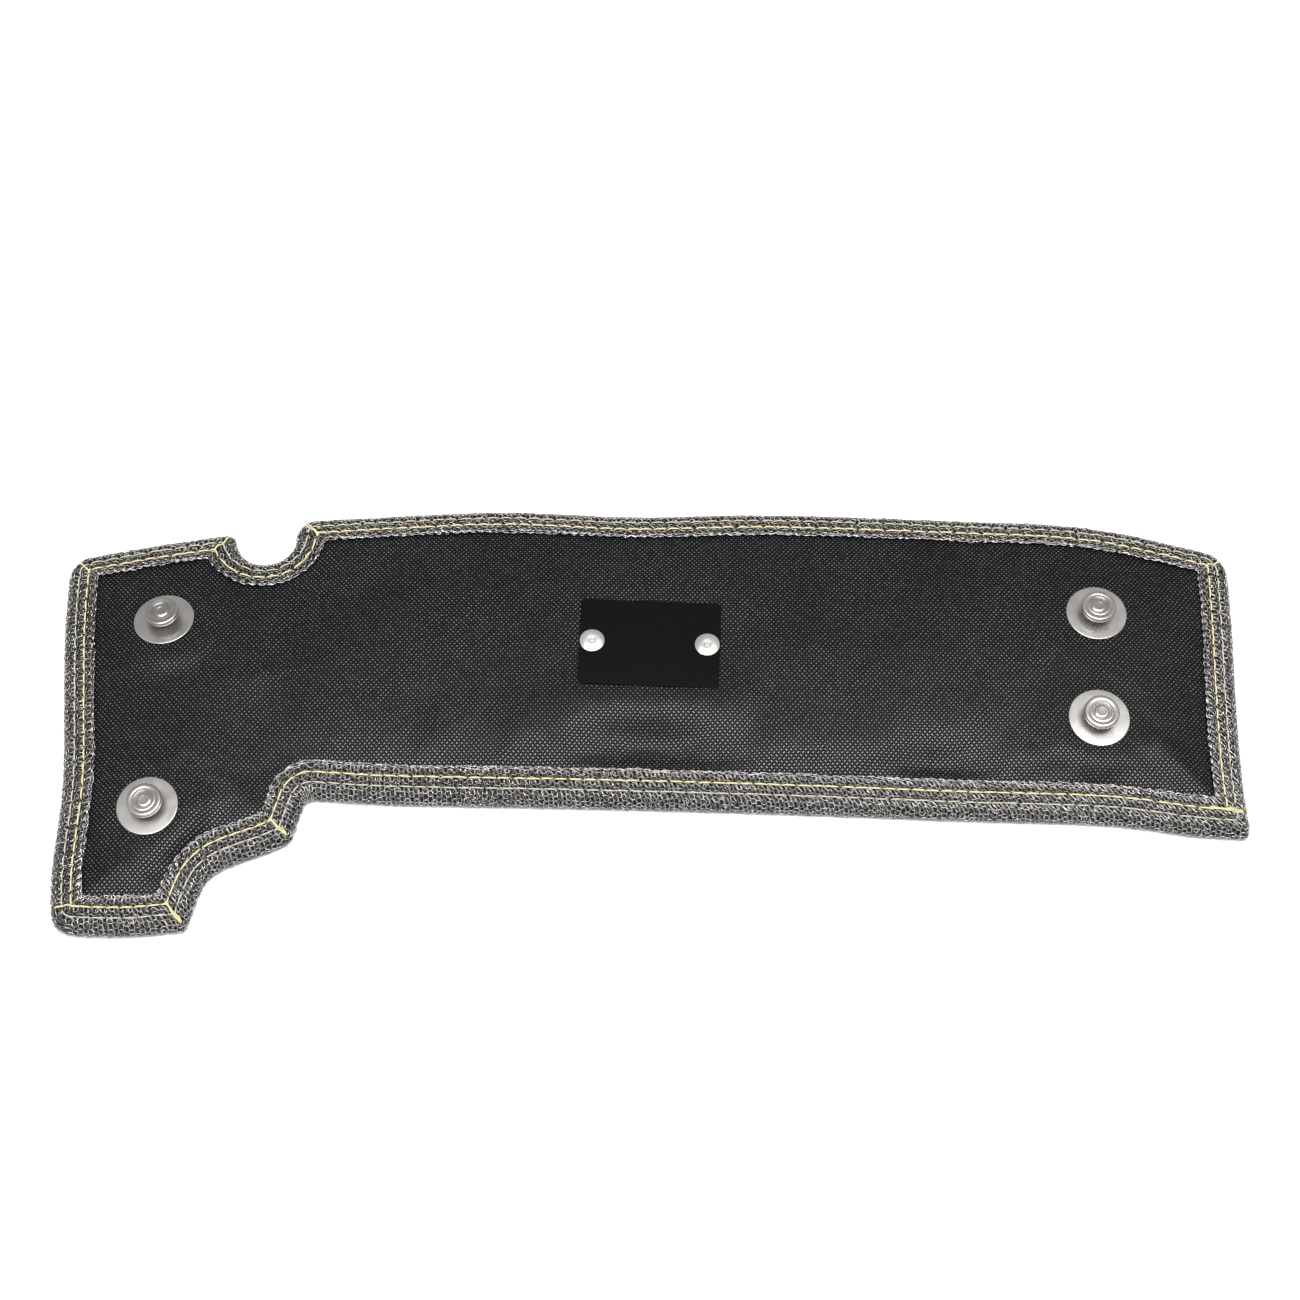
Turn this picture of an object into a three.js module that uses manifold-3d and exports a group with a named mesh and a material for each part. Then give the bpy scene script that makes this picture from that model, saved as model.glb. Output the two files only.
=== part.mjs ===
import * as THREE from "three";
import { mergeVertices } from "three/addons/utils/BufferGeometryUtils.js";
import Module from "manifold-3d";

// Turbo heat blanket, laid flat. Millimetres, X along its length, Y towards the straight top edge, Z up.
// The quilt is a stack: knitted wire cover, liner, insulation mat, woven outer cloth. The knitted cover
// wraps round every edge and comes back over the cloth as a stitched border.

// Layers
const COVER_THICK = 1.0;
const LINER_THICK = 0.8;
const CLOTH_THICK = 0.9;
const GAP = 0.3;
const DRILL_GAP = 0.3;

// Quilt height over its table, from the rolled edge to the crown
const EDGE_HEIGHT = 8.5;
const CROWN_RISE = 16;
const RISE_LENGTH = 30;

// Stitched border, measured inwards from the fold
const BORDER = 16.3;
const MAIN_ROW = 11.6;
const SECOND_ROW = 6.8;
const ROW_DIP = 0.8;
const PUFF = 0.45;
const CLOTH_SETBACK = 3;
const MAT_SETBACK = 5;
const ROLL_REACH = 5;

// Threads
const THREAD = 0.9;
const THREAD_END = 2.2;
const TACK_WIDTH = 1.5;
const TACK_FROM = 3.2;

// Corners of the outline
const LOBE_CORNER = 13;
const NOTCH_CORNER = 3;
const NOTCH_BLEND = 9;
const FAR_CORNER = 15;
const SHARP_CORNER = 3;
const STEP_INNER = 5;
const STEP_OUTER = 4;
const LEAST_CORNER = 0.6;

// Notch in the top edge, a true arc
const NOTCH_RADIUS = 16.9;
const NOTCH_AT = [-207, 106.4];

// Lacing anchors
const ANCHOR_WASHER_RADIUS = 16;
const ANCHOR_WASHER_THICK = 1.0;
const PIN_RADIUS = 1.7;
const NECK_RADIUS = 4.75;
const CAP_RADIUS = 9.2;
const CAP_THICK = 2.9;
const CAP_TOP = 8;
const CAP_RECESS = 3.6;
const BASE_RADIUS = 12.5;
const BASE_THICK = 0.8;
const BASE_LIFT = 0.3;
const SEAT_RADIUS = ANCHOR_WASHER_RADIUS + 1.5;
const SEAT_BLEND = SEAT_RADIUS + 18;
const DIMPLE_RADIUS = BASE_RADIUS + 2.5;
const DIMPLE_BLEND = DIMPLE_RADIUS + 9;

// Each anchor: place on the plan, and the slope of its seat along X and Y
const ANCHORS = [
  { name: "upper_left", at: [-255.5, 48.6], slope: [-0.07, 0.15] },
  { name: "lower_left", at: [-255.5, -58.9], slope: [-0.08, -0.03] },
  { name: "upper_right", at: [236, 52.2], slope: [0.035, 0.04] },
  { name: "lower_right", at: [233, -9.1], slope: [0.04, -0.035] },
];

// Name plate and its rivets
const PLATE_LENGTH = 74;
const PLATE_WIDTH = 50;
const PLATE_THICK = 0.8;
const PLATE_CORNER = 3;
const PLATE_AT = [0.4, 33.7];
const PLATE_TURN = THREE.MathUtils.degToRad(-2.4);
const PLATE_SEAT = 4;
const PLATE_BLEND = 26;
const RIVET_SPAN = 60.4;
const RIVET_HEAD = 6.5;
const RIVET_HEAD_RISE = 1.7;
const RIVET_BODY = 2.4;
const RIVET_REACH = 7;
const RIVET_TAIL = 3.4;
const MANDREL_RADIUS = 1.0;
const BACKING_RADIUS = 6;
const BACKING_THICK = 0.8;

// Hollows and swells the stitching leaves in the cloth: place, half-lengths, height
const BILLOWS = [
  [3, -20, 36, 15, -1.9],
  [151, -33, 24, 17, -2.0],
  [-58, -12, 22, 16, 1.3],
  [92, -22, 42, 14, 1.2],
  [-140, 20, 60, 34, -1.2],
  [205, -28, 26, 12, 1.1],
  [-205, 12, 26, 40, -1.6],
];

const GRID = 36;
const CORNER_STEPS = 3;
const ROUND = 16;
const ROUND_SMALL = 12;

// Plan outline, clockwise from the top left, as edges that meet at rounded corners

class Edge {
  constructor(name, steps, corner, concave = false) {
    this.name = name;
    this.steps = steps;
    this.corner = corner;
    this.concave = concave;
  }
  // Point at u, moved inwards by d. The edge runs on straight beyond its ends.
  at(u, d) {
    const inside = THREE.MathUtils.clamp(u, 0, 1);
    const p = this.point(inside);
    const t = this.tangent(inside);
    const beyond = (u - inside) * this.length;
    return [p[0] + t[0] * beyond + t[1] * d, p[1] + t[1] * beyond - t[0] * d];
  }
  tangent(u) {
    const h = 1e-4;
    const a = this.point(Math.max(u - h, 0));
    const b = this.point(Math.min(u + h, 1));
    const size = Math.hypot(b[0] - a[0], b[1] - a[1]);
    return [(b[0] - a[0]) / size, (b[1] - a[1]) / size];
  }
}

class BowedEdge extends Edge {
  constructor(name, steps, points, corner, concave) {
    super(name, steps, corner, concave);
    this.curve = new THREE.CatmullRomCurve3(points.map(([x, y]) => new THREE.Vector3(x, y, 0)));
    this.curve.arcLengthDivisions = 400;
    this.length = this.curve.getLength();
  }
  point(u) {
    const p = this.curve.getPointAt(u);
    return [p.x, p.y];
  }
}

class ArcEdge extends Edge {
  constructor(name, steps, centre, radius, from, to, corner, concave) {
    super(name, steps, corner, concave);
    this.centre = centre;
    this.radius = radius;
    this.from = THREE.MathUtils.degToRad(from);
    this.sweep = THREE.MathUtils.degToRad(to - from);
    this.length = radius * this.sweep;
  }
  point(u) {
    const a = this.from + this.sweep * u;
    return [this.centre[0] + this.radius * Math.cos(a), this.centre[1] + this.radius * Math.sin(a)];
  }
}

const LEFT_TOP = [-311, 92];
const NOTCH_LEFT = [-223.4, 108.6];
const NOTCH_RIGHT = [-190, 116.4];
const RIGHT_TOP = [310.6, 94.4];
const RIGHT_FOOT = [308, -70];
const STEP_TOP = [-177, -47.4];
const STEP_FOOT = [-183.6, -71.6];
const COVE_FOOT = [-233.6, -120.6];
const LEFT_FOOT = [-300.5, -122.4];

// Each edge's last number is the radius of the corner that follows it
const EDGES = [
  new BowedEdge("lobe_top", 4, [LEFT_TOP, [-268, 101], NOTCH_LEFT], NOTCH_CORNER),
  new ArcEdge("notch", 9, NOTCH_AT, NOTCH_RADIUS, 176, 360, NOTCH_BLEND),
  new BowedEdge(
    "top", 13,
    [NOTCH_RIGHT, [-150, 119], [-80, 122.4], [-8, 119.4], [60, 120.7], [160, 117.2], [240, 112], RIGHT_TOP],
    FAR_CORNER,
  ),
  new BowedEdge("right", 5, [RIGHT_TOP, [309.8, 55], [307.4, 0], [306.6, -40], RIGHT_FOOT], SHARP_CORNER),
  new BowedEdge(
    "bottom", 13,
    [RIGHT_FOOT, [280, -67.8], [240, -62.2], [160, -59.1], [60, -55], [-40, -52.1], [-140, -49.9], STEP_TOP],
    STEP_INNER, true,
  ),
  new BowedEdge("step", 2, [STEP_TOP, [-180.2, -58.6], STEP_FOOT], STEP_OUTER),
  new BowedEdge(
    "cove", 9,
    [STEP_FOOT, [-195, -77.4], [-208.4, -82.6], [-218, -87], [-225, -93.4], [-228.9, -102.6], COVE_FOOT],
    SHARP_CORNER,
  ),
  new BowedEdge("lobe_bottom", 3, [COVE_FOOT, [-262, -123.2], LEFT_FOOT], LOBE_CORNER - 1),
  new BowedEdge(
    "left", 7,
    [LEFT_FOOT, [-303.2, -95], [-302.6, -40], [-306.8, 10], [-310, 50], LEFT_TOP],
    LOBE_CORNER,
  ),
];

// Where two neighbouring edges cross once both are moved inwards by d
function crossing(a, b, d) {
  let u = 1;
  let v = 0;
  const h = 1e-4;
  for (let pass = 0; pass < 20; pass++) {
    const p = a.at(u, d);
    const q = b.at(v, d);
    const pu = a.at(u + h, d);
    const qv = b.at(v + h, d);
    const ax = (pu[0] - p[0]) / h;
    const ay = (pu[1] - p[1]) / h;
    const bx = (qv[0] - q[0]) / h;
    const by = (qv[1] - q[1]) / h;
    const det = bx * ay - ax * by;
    const rx = q[0] - p[0];
    const ry = q[1] - p[1];
    u += THREE.MathUtils.clamp((bx * ry - by * rx) / det, -0.3, 0.3);
    v += THREE.MathUtils.clamp((ax * ry - ay * rx) / det, -0.3, 0.3);
  }
  return { u, v, at: a.at(u, d) };
}

// The rounded corner after an edge, on the ring that lies d inside the outline
function cornerOf(index, d) {
  const a = EDGES[index];
  const b = EDGES[(index + 1) % EDGES.length];
  const rounding = a.concave ? a.corner + d : Math.max(a.corner - d, LEAST_CORNER);
  const found = crossing(a, b, a.concave ? -a.corner : d + rounding);
  const start = a.at(found.u, d);
  const end = b.at(found.v, d);
  const from = Math.atan2(start[1] - found.at[1], start[0] - found.at[0]);
  let turn = Math.atan2(end[1] - found.at[1], end[0] - found.at[0]) - from;
  turn -= 2 * Math.PI * Math.round(turn / (2 * Math.PI));
  const points = [];
  for (let i = 1; i < CORNER_STEPS; i++) {
    const angle = from + (turn * i) / CORNER_STEPS;
    points.push([found.at[0] + rounding * Math.cos(angle), found.at[1] + rounding * Math.sin(angle)]);
  }
  const middle = from + turn / 2;
  const apex = [found.at[0] + rounding * Math.cos(middle), found.at[1] + rounding * Math.sin(middle)];
  return { u: found.u, v: found.v, points, apex };
}

// The points of one edge on the ring at d, shortened by trim at both ends
function edgeLine(index, d, trim = 0) {
  const edge = EDGES[index];
  const before = cornerOf((index + EDGES.length - 1) % EDGES.length, d).v + trim / edge.length;
  const after = cornerOf(index, d).u - trim / edge.length;
  const stride = (after - before) / edge.steps;
  return Array.from({ length: edge.steps + 1 }, (_, i) => edge.at(before + stride * i, d));
}

function ringAt(d) {
  return EDGES.flatMap((edge, i) => [...edgeLine(i, d), ...cornerOf(i, d).points]);
}

const outline = ringAt(0);
const span = (axis, pick) => pick(...outline.map((p) => p[axis]));
const CENTRE = [0, 1].map((axis) => (span(axis, Math.min) + span(axis, Math.max)) / 2);

// Heights

function depthInside(x, y) {
  let best = Infinity;
  outline.forEach((a, i) => {
    const b = outline[(i + 1) % outline.length];
    const dx = b[0] - a[0];
    const dy = b[1] - a[1];
    const t = THREE.MathUtils.clamp(((x - a[0]) * dx + (y - a[1]) * dy) / (dx * dx + dy * dy), 0, 1);
    best = Math.min(best, Math.hypot(x - a[0] - t * dx, y - a[1] - t * dy));
  });
  return best;
}

const coverTop = (d) => EDGE_HEIGHT + CROWN_RISE * (1 - Math.exp(-d / RISE_LENGTH));
const clothTop = (d) => coverTop(d) - COVER_THICK - GAP;
const smooth = (edge0, edge1, x) => 1 - THREE.MathUtils.smoothstep(x, edge0, edge1);

function freeCloth(x, y) {
  const d = depthInside(x, y);
  const share = THREE.MathUtils.smoothstep(d, BORDER, BORDER + 14);
  const swell = BILLOWS.reduce(
    (sum, [bx, by, rx, ry, h]) => sum + h * Math.exp(-(((x - bx) / rx) ** 2) - ((y - by) / ry) ** 2),
    0,
  );
  return clothTop(d) + swell * share;
}

for (const anchor of ANCHORS) {
  anchor.height = freeCloth(...anchor.at);
  anchor.lean = Math.hypot(...anchor.slope);
  anchor.normal = new THREE.Vector3(anchor.slope[0], anchor.slope[1], 1).normalize();
  anchor.seat = (x, y) =>
    anchor.height - anchor.slope[0] * (x - anchor.at[0]) - anchor.slope[1] * (y - anchor.at[1]);
}

const PLATE_HEIGHT = freeCloth(...PLATE_AT);

// Distance outside the rectangle that the plate needs for its flat seat
function outsidePlate(x, y) {
  const dx = x - PLATE_AT[0];
  const dy = y - PLATE_AT[1];
  const along = dx * Math.cos(PLATE_TURN) + dy * Math.sin(PLATE_TURN);
  const across = dy * Math.cos(PLATE_TURN) - dx * Math.sin(PLATE_TURN);
  const beyond = (offset, length) => Math.max(Math.abs(offset) - length / 2 - PLATE_SEAT, 0);
  return Math.hypot(beyond(along, PLATE_LENGTH), beyond(across, PLATE_WIDTH));
}

function clothHeight(x, y) {
  let z = freeCloth(x, y);
  z = THREE.MathUtils.lerp(z, PLATE_HEIGHT, smooth(0.01, PLATE_BLEND, outsidePlate(x, y)));
  for (const anchor of ANCHORS) {
    const r = Math.hypot(x - anchor.at[0], y - anchor.at[1]);
    z = THREE.MathUtils.lerp(z, anchor.seat(x, y), smooth(SEAT_RADIUS + 0.01, SEAT_BLEND, r));
  }
  return z;
}

// Height of the anchor's base disc centre, so that its lowest rim clears the table
const baseHeight = (anchor) => BASE_LIFT + BASE_RADIUS * anchor.lean;

// Underside of the quilt: flat but for a shallow dimple over each base disc
function hotHeight(x, y) {
  let z = 0;
  for (const anchor of ANCHORS) {
    const axis = [
      anchor.at[0] - anchor.slope[0] * anchor.height,
      anchor.at[1] - anchor.slope[1] * anchor.height,
    ];
    const r = Math.hypot(x - axis[0], y - axis[1]);
    const over = baseHeight(anchor) + (BASE_THICK + GAP) / anchor.normal.z;
    const roof = over - anchor.slope[0] * (x - axis[0]) - anchor.slope[1] * (y - axis[1]);
    z = Math.max(z, roof * smooth(DIMPLE_RADIUS + 0.01, DIMPLE_BLEND, r));
  }
  return z;
}

// Triangulations of the field inside the border

function inside(ring, x, y) {
  let odd = false;
  ring.forEach((a, i) => {
    const b = ring[(i + 1) % ring.length];
    if (a[1] > y !== b[1] > y && x < ((b[0] - a[0]) * (y - a[1])) / (b[1] - a[1]) + a[0]) odd = !odd;
  });
  return odd;
}

function circumcircle(a, b, c) {
  const bx = b[0] - a[0];
  const by = b[1] - a[1];
  const cx = c[0] - a[0];
  const cy = c[1] - a[1];
  const k = 2 * (bx * cy - by * cx);
  const bb = bx * bx + by * by;
  const cc = cx * cx + cy * cy;
  const x = (cy * bb - by * cc) / k;
  const y = (bx * cc - cx * bb) / k;
  return { x: a[0] + x, y: a[1] + y, rr: x * x + y * y };
}

function delaunay(points) {
  const n = points.length;
  const far = 4000;
  const all = [...points, [-far, -far], [far, -far * 1.1], [37, far]];
  const make = (i, j, k) => ({ v: [i, j, k], circle: circumcircle(all[i], all[j], all[k]) });
  let faces = [make(n, n + 1, n + 2)];
  points.forEach((p, i) => {
    const open = new Map();
    faces = faces.filter((face) => {
      const c = face.circle;
      if ((p[0] - c.x) ** 2 + (p[1] - c.y) ** 2 >= c.rr * (1 - 1e-10)) return true;
      face.v.forEach((a, k) => {
        const b = face.v[(k + 1) % 3];
        if (!open.delete(b + ":" + a)) open.set(a + ":" + b, [a, b]);
      });
      return false;
    });
    for (const [a, b] of open.values()) faces.push(make(a, b, i));
  });
  return faces.map((face) => face.v).filter((v) => v.every((i) => i < n));
}

const circle = (centre, radius, count, turn = 0.13) =>
  Array.from({ length: count }, (_, i) => {
    const a = turn + (i * 2 * Math.PI) / count;
    return [centre[0] + radius * Math.cos(a), centre[1] + radius * Math.sin(a)];
  });

const ringInner = ringAt(BORDER);

function platePoint(along, across) {
  const x = PLATE_AT[0] + along * Math.cos(PLATE_TURN) - across * Math.sin(PLATE_TURN);
  const y = PLATE_AT[1] + along * Math.sin(PLATE_TURN) + across * Math.cos(PLATE_TURN);
  return [x, y];
}

function field(fixed, grid) {
  const points = [...ringInner, ...fixed];
  if (grid) {
    const rows = Math.ceil(150 / grid);
    const columns = Math.ceil(330 / grid);
    for (let row = -rows; row <= rows; row++) {
      for (let column = -columns; column <= columns; column++) {
        const p = [(column + (row % 2 ? 0.5 : 0)) * grid + 3, row * grid * 0.866 + 2];
        const clear = points.every((q) => Math.hypot(p[0] - q[0], p[1] - q[1]) > grid * 0.56);
        if (inside(ringInner, ...p) && clear) points.push(p);
      }
    }
  }
  const faces = delaunay(points).filter((face) => {
    const x = face.reduce((sum, i) => sum + points[i][0], 0) / 3;
    const y = face.reduce((sum, i) => sum + points[i][1], 0) / 3;
    return inside(ringInner, x, y);
  });
  return { points, faces };
}

const seatPoints = ANCHORS.flatMap((anchor) => [anchor.at, ...circle(anchor.at, SEAT_RADIUS, 16)]);
const plateSeat = [-1, -0.5, 0, 0.5, 1].flatMap((a) =>
  [-1, 0, 1].map((b) => platePoint(a * (PLATE_LENGTH / 2 + PLATE_SEAT), b * (PLATE_WIDTH / 2 + PLATE_SEAT))),
);
const crownField = field([...seatPoints, ...plateSeat], GRID);

const dimplePoints = ANCHORS.flatMap((anchor) => {
  const axis = [
    anchor.at[0] - anchor.slope[0] * anchor.height,
    anchor.at[1] - anchor.slope[1] * anchor.height,
  ];
  return [...circle(axis, DIMPLE_RADIUS, 12), ...circle(axis, DIMPLE_BLEND, 12, 0.4), axis];
});
const flatField = field(dimplePoints, 0);

// Solids

function finish(geometry) {
  geometry.deleteAttribute("normal");
  geometry.deleteAttribute("uv");
  const merged = mergeVertices(geometry, 1e-3);
  const old = merged.index.array;
  const kept = [];
  for (let i = 0; i < old.length; i += 3) {
    const [a, b, c] = [old[i], old[i + 1], old[i + 2]];
    if (a !== b && b !== c && c !== a) kept.push(a, b, c);
  }
  merged.setIndex(kept);
  const p = merged.attributes.position;
  const v = [0, 1, 2].map(() => new THREE.Vector3());
  let volume = 0;
  for (let i = 0; i < kept.length; i += 3) {
    v.forEach((w, k) => w.fromBufferAttribute(p, kept[i + k]));
    volume += v[0].dot(v[1].clone().cross(v[2]));
  }
  if (volume < 0) {
    for (let i = 0; i < kept.length; i += 3) [kept[i + 1], kept[i + 2]] = [kept[i + 2], kept[i + 1]];
    merged.setIndex(kept);
  }
  merged.computeVertexNormals();
  return merged;
}

// A closed skin: bands between neighbouring rings, and a field that closes the first and the last ring
function skin(rings, first, last) {
  const positions = [];
  const index = [];
  const n = ringInner.length;
  for (const ring of rings) {
    ring.plan.forEach(([x, y]) => positions.push(x - CENTRE[0], y - CENTRE[1], ring.height(x, y)));
  }
  for (let r = 0; r + 1 < rings.length; r++) {
    for (let i = 0; i < n; i++) {
      const j = (i + 1) % n;
      const [a, b, c, e] = [r * n + i, r * n + j, (r + 1) * n + i, (r + 1) * n + j];
      index.push(a, b, e, a, e, c);
    }
  }
  const close = ({ points, faces }, ring, height, turned) => {
    const base = positions.length / 3;
    points.forEach(([x, y], i) => {
      const z = i < n ? rings[ring].height(x, y) : height(x, y);
      positions.push(x - CENTRE[0], y - CENTRE[1], z);
    });
    for (const [a, b, c] of faces) {
      const p = points[a];
      const q = points[b];
      const s = points[c];
      const left = (q[0] - p[0]) * (s[1] - p[1]) - (q[1] - p[1]) * (s[0] - p[0]) > 0;
      if (left !== turned) index.push(base + a, base + b, base + c);
      else index.push(base + a, base + c, base + b);
    }
  };
  close(first.field, 0, first.height, false);
  close(last.field, rings.length - 1, last.height, true);
  const geometry = new THREE.BufferGeometry();
  geometry.setAttribute("position", new THREE.Float32BufferAttribute(positions, 3));
  geometry.setIndex(index);
  return finish(geometry);
}

const level = (d, z) => ({ plan: ringAt(d), height: () => z });

// Knitted wire cover: hot face, roll round the edge, border over the cloth. Its outside dips at each row
// of stitches and puffs up between them.
function coverSkin() {
  const mid = (d, puff) => coverTop(d) + puff;
  const between = (MAIN_ROW + SECOND_ROW) / 2;
  const outerLip = (MAIN_ROW + BORDER) / 2;
  const rings = [
    level(BORDER, 0),
    level(ROLL_REACH, 0),
    level(1.7, 0.9),
    level(0, EDGE_HEIGHT * 0.48),
    level(0.9, EDGE_HEIGHT * 0.86),
    level(3.2, mid(3.2, PUFF)),
    level(SECOND_ROW, mid(SECOND_ROW, -ROW_DIP)),
    level(between, mid(between, PUFF)),
    level(MAIN_ROW, mid(MAIN_ROW, -ROW_DIP)),
    level(outerLip, mid(outerLip, PUFF)),
    level(BORDER, mid(BORDER, 0)),
    level(BORDER, coverTop(BORDER) - COVER_THICK),
    level(SECOND_ROW, coverTop(SECOND_ROW) - ROW_DIP - COVER_THICK),
    level(2.3, EDGE_HEIGHT * 0.86 - 0.1),
    level(COVER_THICK + 0.1, EDGE_HEIGHT * 0.5),
    level(2.3, 0.9 + COVER_THICK * 0.5),
    level(ROLL_REACH + GAP, COVER_THICK),
    level(BORDER, COVER_THICK),
  ];
  return skin(
    rings,
    { field: flatField, height: hotHeight },
    { field: flatField, height: (x, y) => hotHeight(x, y) + COVER_THICK },
  );
}

// Outer cloth: the quilt's black face, with its cut edge hidden under the border
function clothSkin() {
  const under = COVER_THICK + ROW_DIP + GAP;
  const rim = { d: CLOTH_SETBACK + 0.6, z: EDGE_HEIGHT * 0.86 - 0.1 - GAP - 0.5 };
  const rings = [
    level(BORDER, clothTop(BORDER)),
    level(MAIN_ROW, coverTop(MAIN_ROW) - under),
    level(SECOND_ROW, coverTop(SECOND_ROW) - under),
    level(rim.d, rim.z),
    level(rim.d, rim.z - CLOTH_THICK),
    level(SECOND_ROW, coverTop(SECOND_ROW) - under - CLOTH_THICK),
    level(MAIN_ROW, coverTop(MAIN_ROW) - under - CLOTH_THICK),
    level(BORDER, clothTop(BORDER) - CLOTH_THICK),
  ];
  return skin(
    rings,
    { field: crownField, height: clothHeight },
    { field: crownField, height: (x, y) => clothHeight(x, y) - CLOTH_THICK },
  );
}

// Insulation mat: the body of the quilt, thinned where the stitching pulls it together
function matSkin() {
  const under = COVER_THICK + ROW_DIP + CLOTH_THICK + 2 * GAP;
  const floor = COVER_THICK + LINER_THICK + 2 * GAP;
  const lid = COVER_THICK + GAP + CLOTH_THICK + GAP;
  const rings = [
    level(BORDER, coverTop(BORDER) - lid),
    level(MAIN_ROW, coverTop(MAIN_ROW) - under),
    level(SECOND_ROW, coverTop(SECOND_ROW) - under),
    level(MAT_SETBACK, coverTop(SECOND_ROW) - under - 1.8),
    level(MAT_SETBACK, floor),
    level(BORDER, floor),
  ];
  return skin(
    rings,
    { field: crownField, height: (x, y) => clothHeight(x, y) - CLOTH_THICK - GAP },
    { field: flatField, height: (x, y) => hotHeight(x, y) + floor },
  );
}

// Liner cloth between the mat and the knitted cover
function linerSkin() {
  const floor = COVER_THICK + GAP;
  const rings = [
    level(BORDER, floor + LINER_THICK),
    level(MAT_SETBACK + 0.6, floor + LINER_THICK),
    level(MAT_SETBACK + 0.6, floor),
    level(BORDER, floor),
  ];
  return skin(
    rings,
    { field: flatField, height: (x, y) => hotHeight(x, y) + floor + LINER_THICK },
    { field: flatField, height: (x, y) => hotHeight(x, y) + floor },
  );
}

// A thread laid along a line of points, as a flat-sided bar with closed ends
function bar(points, width, height) {
  const positions = [];
  const index = [];
  points.forEach((p, i) => {
    const a = points[Math.max(i - 1, 0)];
    const b = points[Math.min(i + 1, points.length - 1)];
    const size = Math.hypot(b[0] - a[0], b[1] - a[1]);
    const nx = ((b[1] - a[1]) / size) * (width / 2);
    const ny = (-(b[0] - a[0]) / size) * (width / 2);
    const x = p[0] - CENTRE[0];
    const y = p[1] - CENTRE[1];
    positions.push(x, y, p[2], x + nx, y + ny, p[2] + height / 2);
    positions.push(x, y, p[2] + height, x - nx, y - ny, p[2] + height / 2);
  });
  for (let i = 0; i + 1 < points.length; i++) {
    for (let k = 0; k < 4; k++) {
      const [a, b] = [i * 4 + k, i * 4 + ((k + 1) % 4)];
      index.push(a, b, b + 4, a, b + 4, a + 4);
    }
  }
  const end = (points.length - 1) * 4;
  index.push(0, 3, 2, 0, 2, 1, end, end + 1, end + 2, end, end + 2, end + 3);
  const geometry = new THREE.BufferGeometry();
  geometry.setAttribute("position", new THREE.Float32BufferAttribute(positions, 3));
  geometry.setIndex(index);
  return finish(geometry);
}

function seamThread(index, row) {
  const z = coverTop(row) - ROW_DIP + GAP;
  return bar(edgeLine(index, row, THREAD_END).map(([x, y]) => [x, y, z]), THREAD, THREAD);
}

// A lashing along a corner's mitre, from the main row out over the fold's shoulder
function cornerTack(index) {
  const stops = [TACK_FROM, SECOND_ROW, (SECOND_ROW + MAIN_ROW) / 2, MAIN_ROW];
  const points = stops.map((d) => [...cornerOf(index, d).apex, coverTop(d) + PUFF + GAP]);
  return bar(points, TACK_WIDTH, THREAD);
}

// Turned metal pieces, from a closed profile of radius and height

function turned(profile, sides = ROUND) {
  const geometry = new THREE.LatheGeometry(profile.map(([r, z]) => new THREE.Vector2(r, z)), sides);
  geometry.rotateX(Math.PI / 2);
  return finish(geometry);
}

const rounded = (r, z, radius, from, to, steps = 3) =>
  Array.from({ length: steps + 1 }, (_, i) => {
    const a = THREE.MathUtils.degToRad(from + ((to - from) * i) / steps);
    return [r + radius * Math.cos(a), z + radius * Math.sin(a)];
  });

// Heights on an anchor's own axis, from the cloth under its washer
const WASHER_FOOT = GAP;
const NECK_FOOT = WASHER_FOOT + ANCHOR_WASHER_THICK + GAP;
const CAP_FACE = WASHER_FOOT + ANCHOR_WASHER_THICK + CAP_TOP;
const PIN_TOP = CAP_FACE - CAP_THICK / 2 - GAP;

function anchorWasher() {
  const z = WASHER_FOOT + ANCHOR_WASHER_THICK;
  const hole = PIN_RADIUS + DRILL_GAP;
  const soft = 0.3;
  return turned([
    [hole, WASHER_FOOT],
    [ANCHOR_WASHER_RADIUS, WASHER_FOOT],
    [ANCHOR_WASHER_RADIUS, z - soft],
    [ANCHOR_WASHER_RADIUS - soft, z],
    [hole, z],
    [hole, WASHER_FOOT],
  ]);
}

function anchorCap() {
  const bore = PIN_RADIUS + DRILL_GAP;
  const rim = CAP_THICK / 2;
  const foot = CAP_FACE - CAP_THICK;
  const recess = 0.5;
  return turned([
    [0, PIN_TOP + GAP],
    [bore, PIN_TOP + GAP],
    [bore, NECK_FOOT],
    [NECK_RADIUS, NECK_FOOT],
    [NECK_RADIUS, foot],
    ...rounded(CAP_RADIUS - rim, foot + rim, rim, -90, 90, 3),
    [CAP_RECESS + 0.5, CAP_FACE],
    [CAP_RECESS, CAP_FACE - recess],
    [0, CAP_FACE - recess],
  ]);
}

function anchorPin(anchor) {
  const stand = anchor.height / anchor.normal.z;
  const foot = baseHeight(anchor) / anchor.normal.z - stand;
  return turned([
    [0, foot],
    [BASE_RADIUS, foot],
    [BASE_RADIUS, foot + BASE_THICK],
    [PIN_RADIUS, foot + BASE_THICK],
    [PIN_RADIUS, PIN_TOP],
    [0, PIN_TOP],
  ]);
}

// Rivets stand square to the plate, measured from the cloth under it
const PLATE_TOP = GAP + PLATE_THICK;

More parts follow.
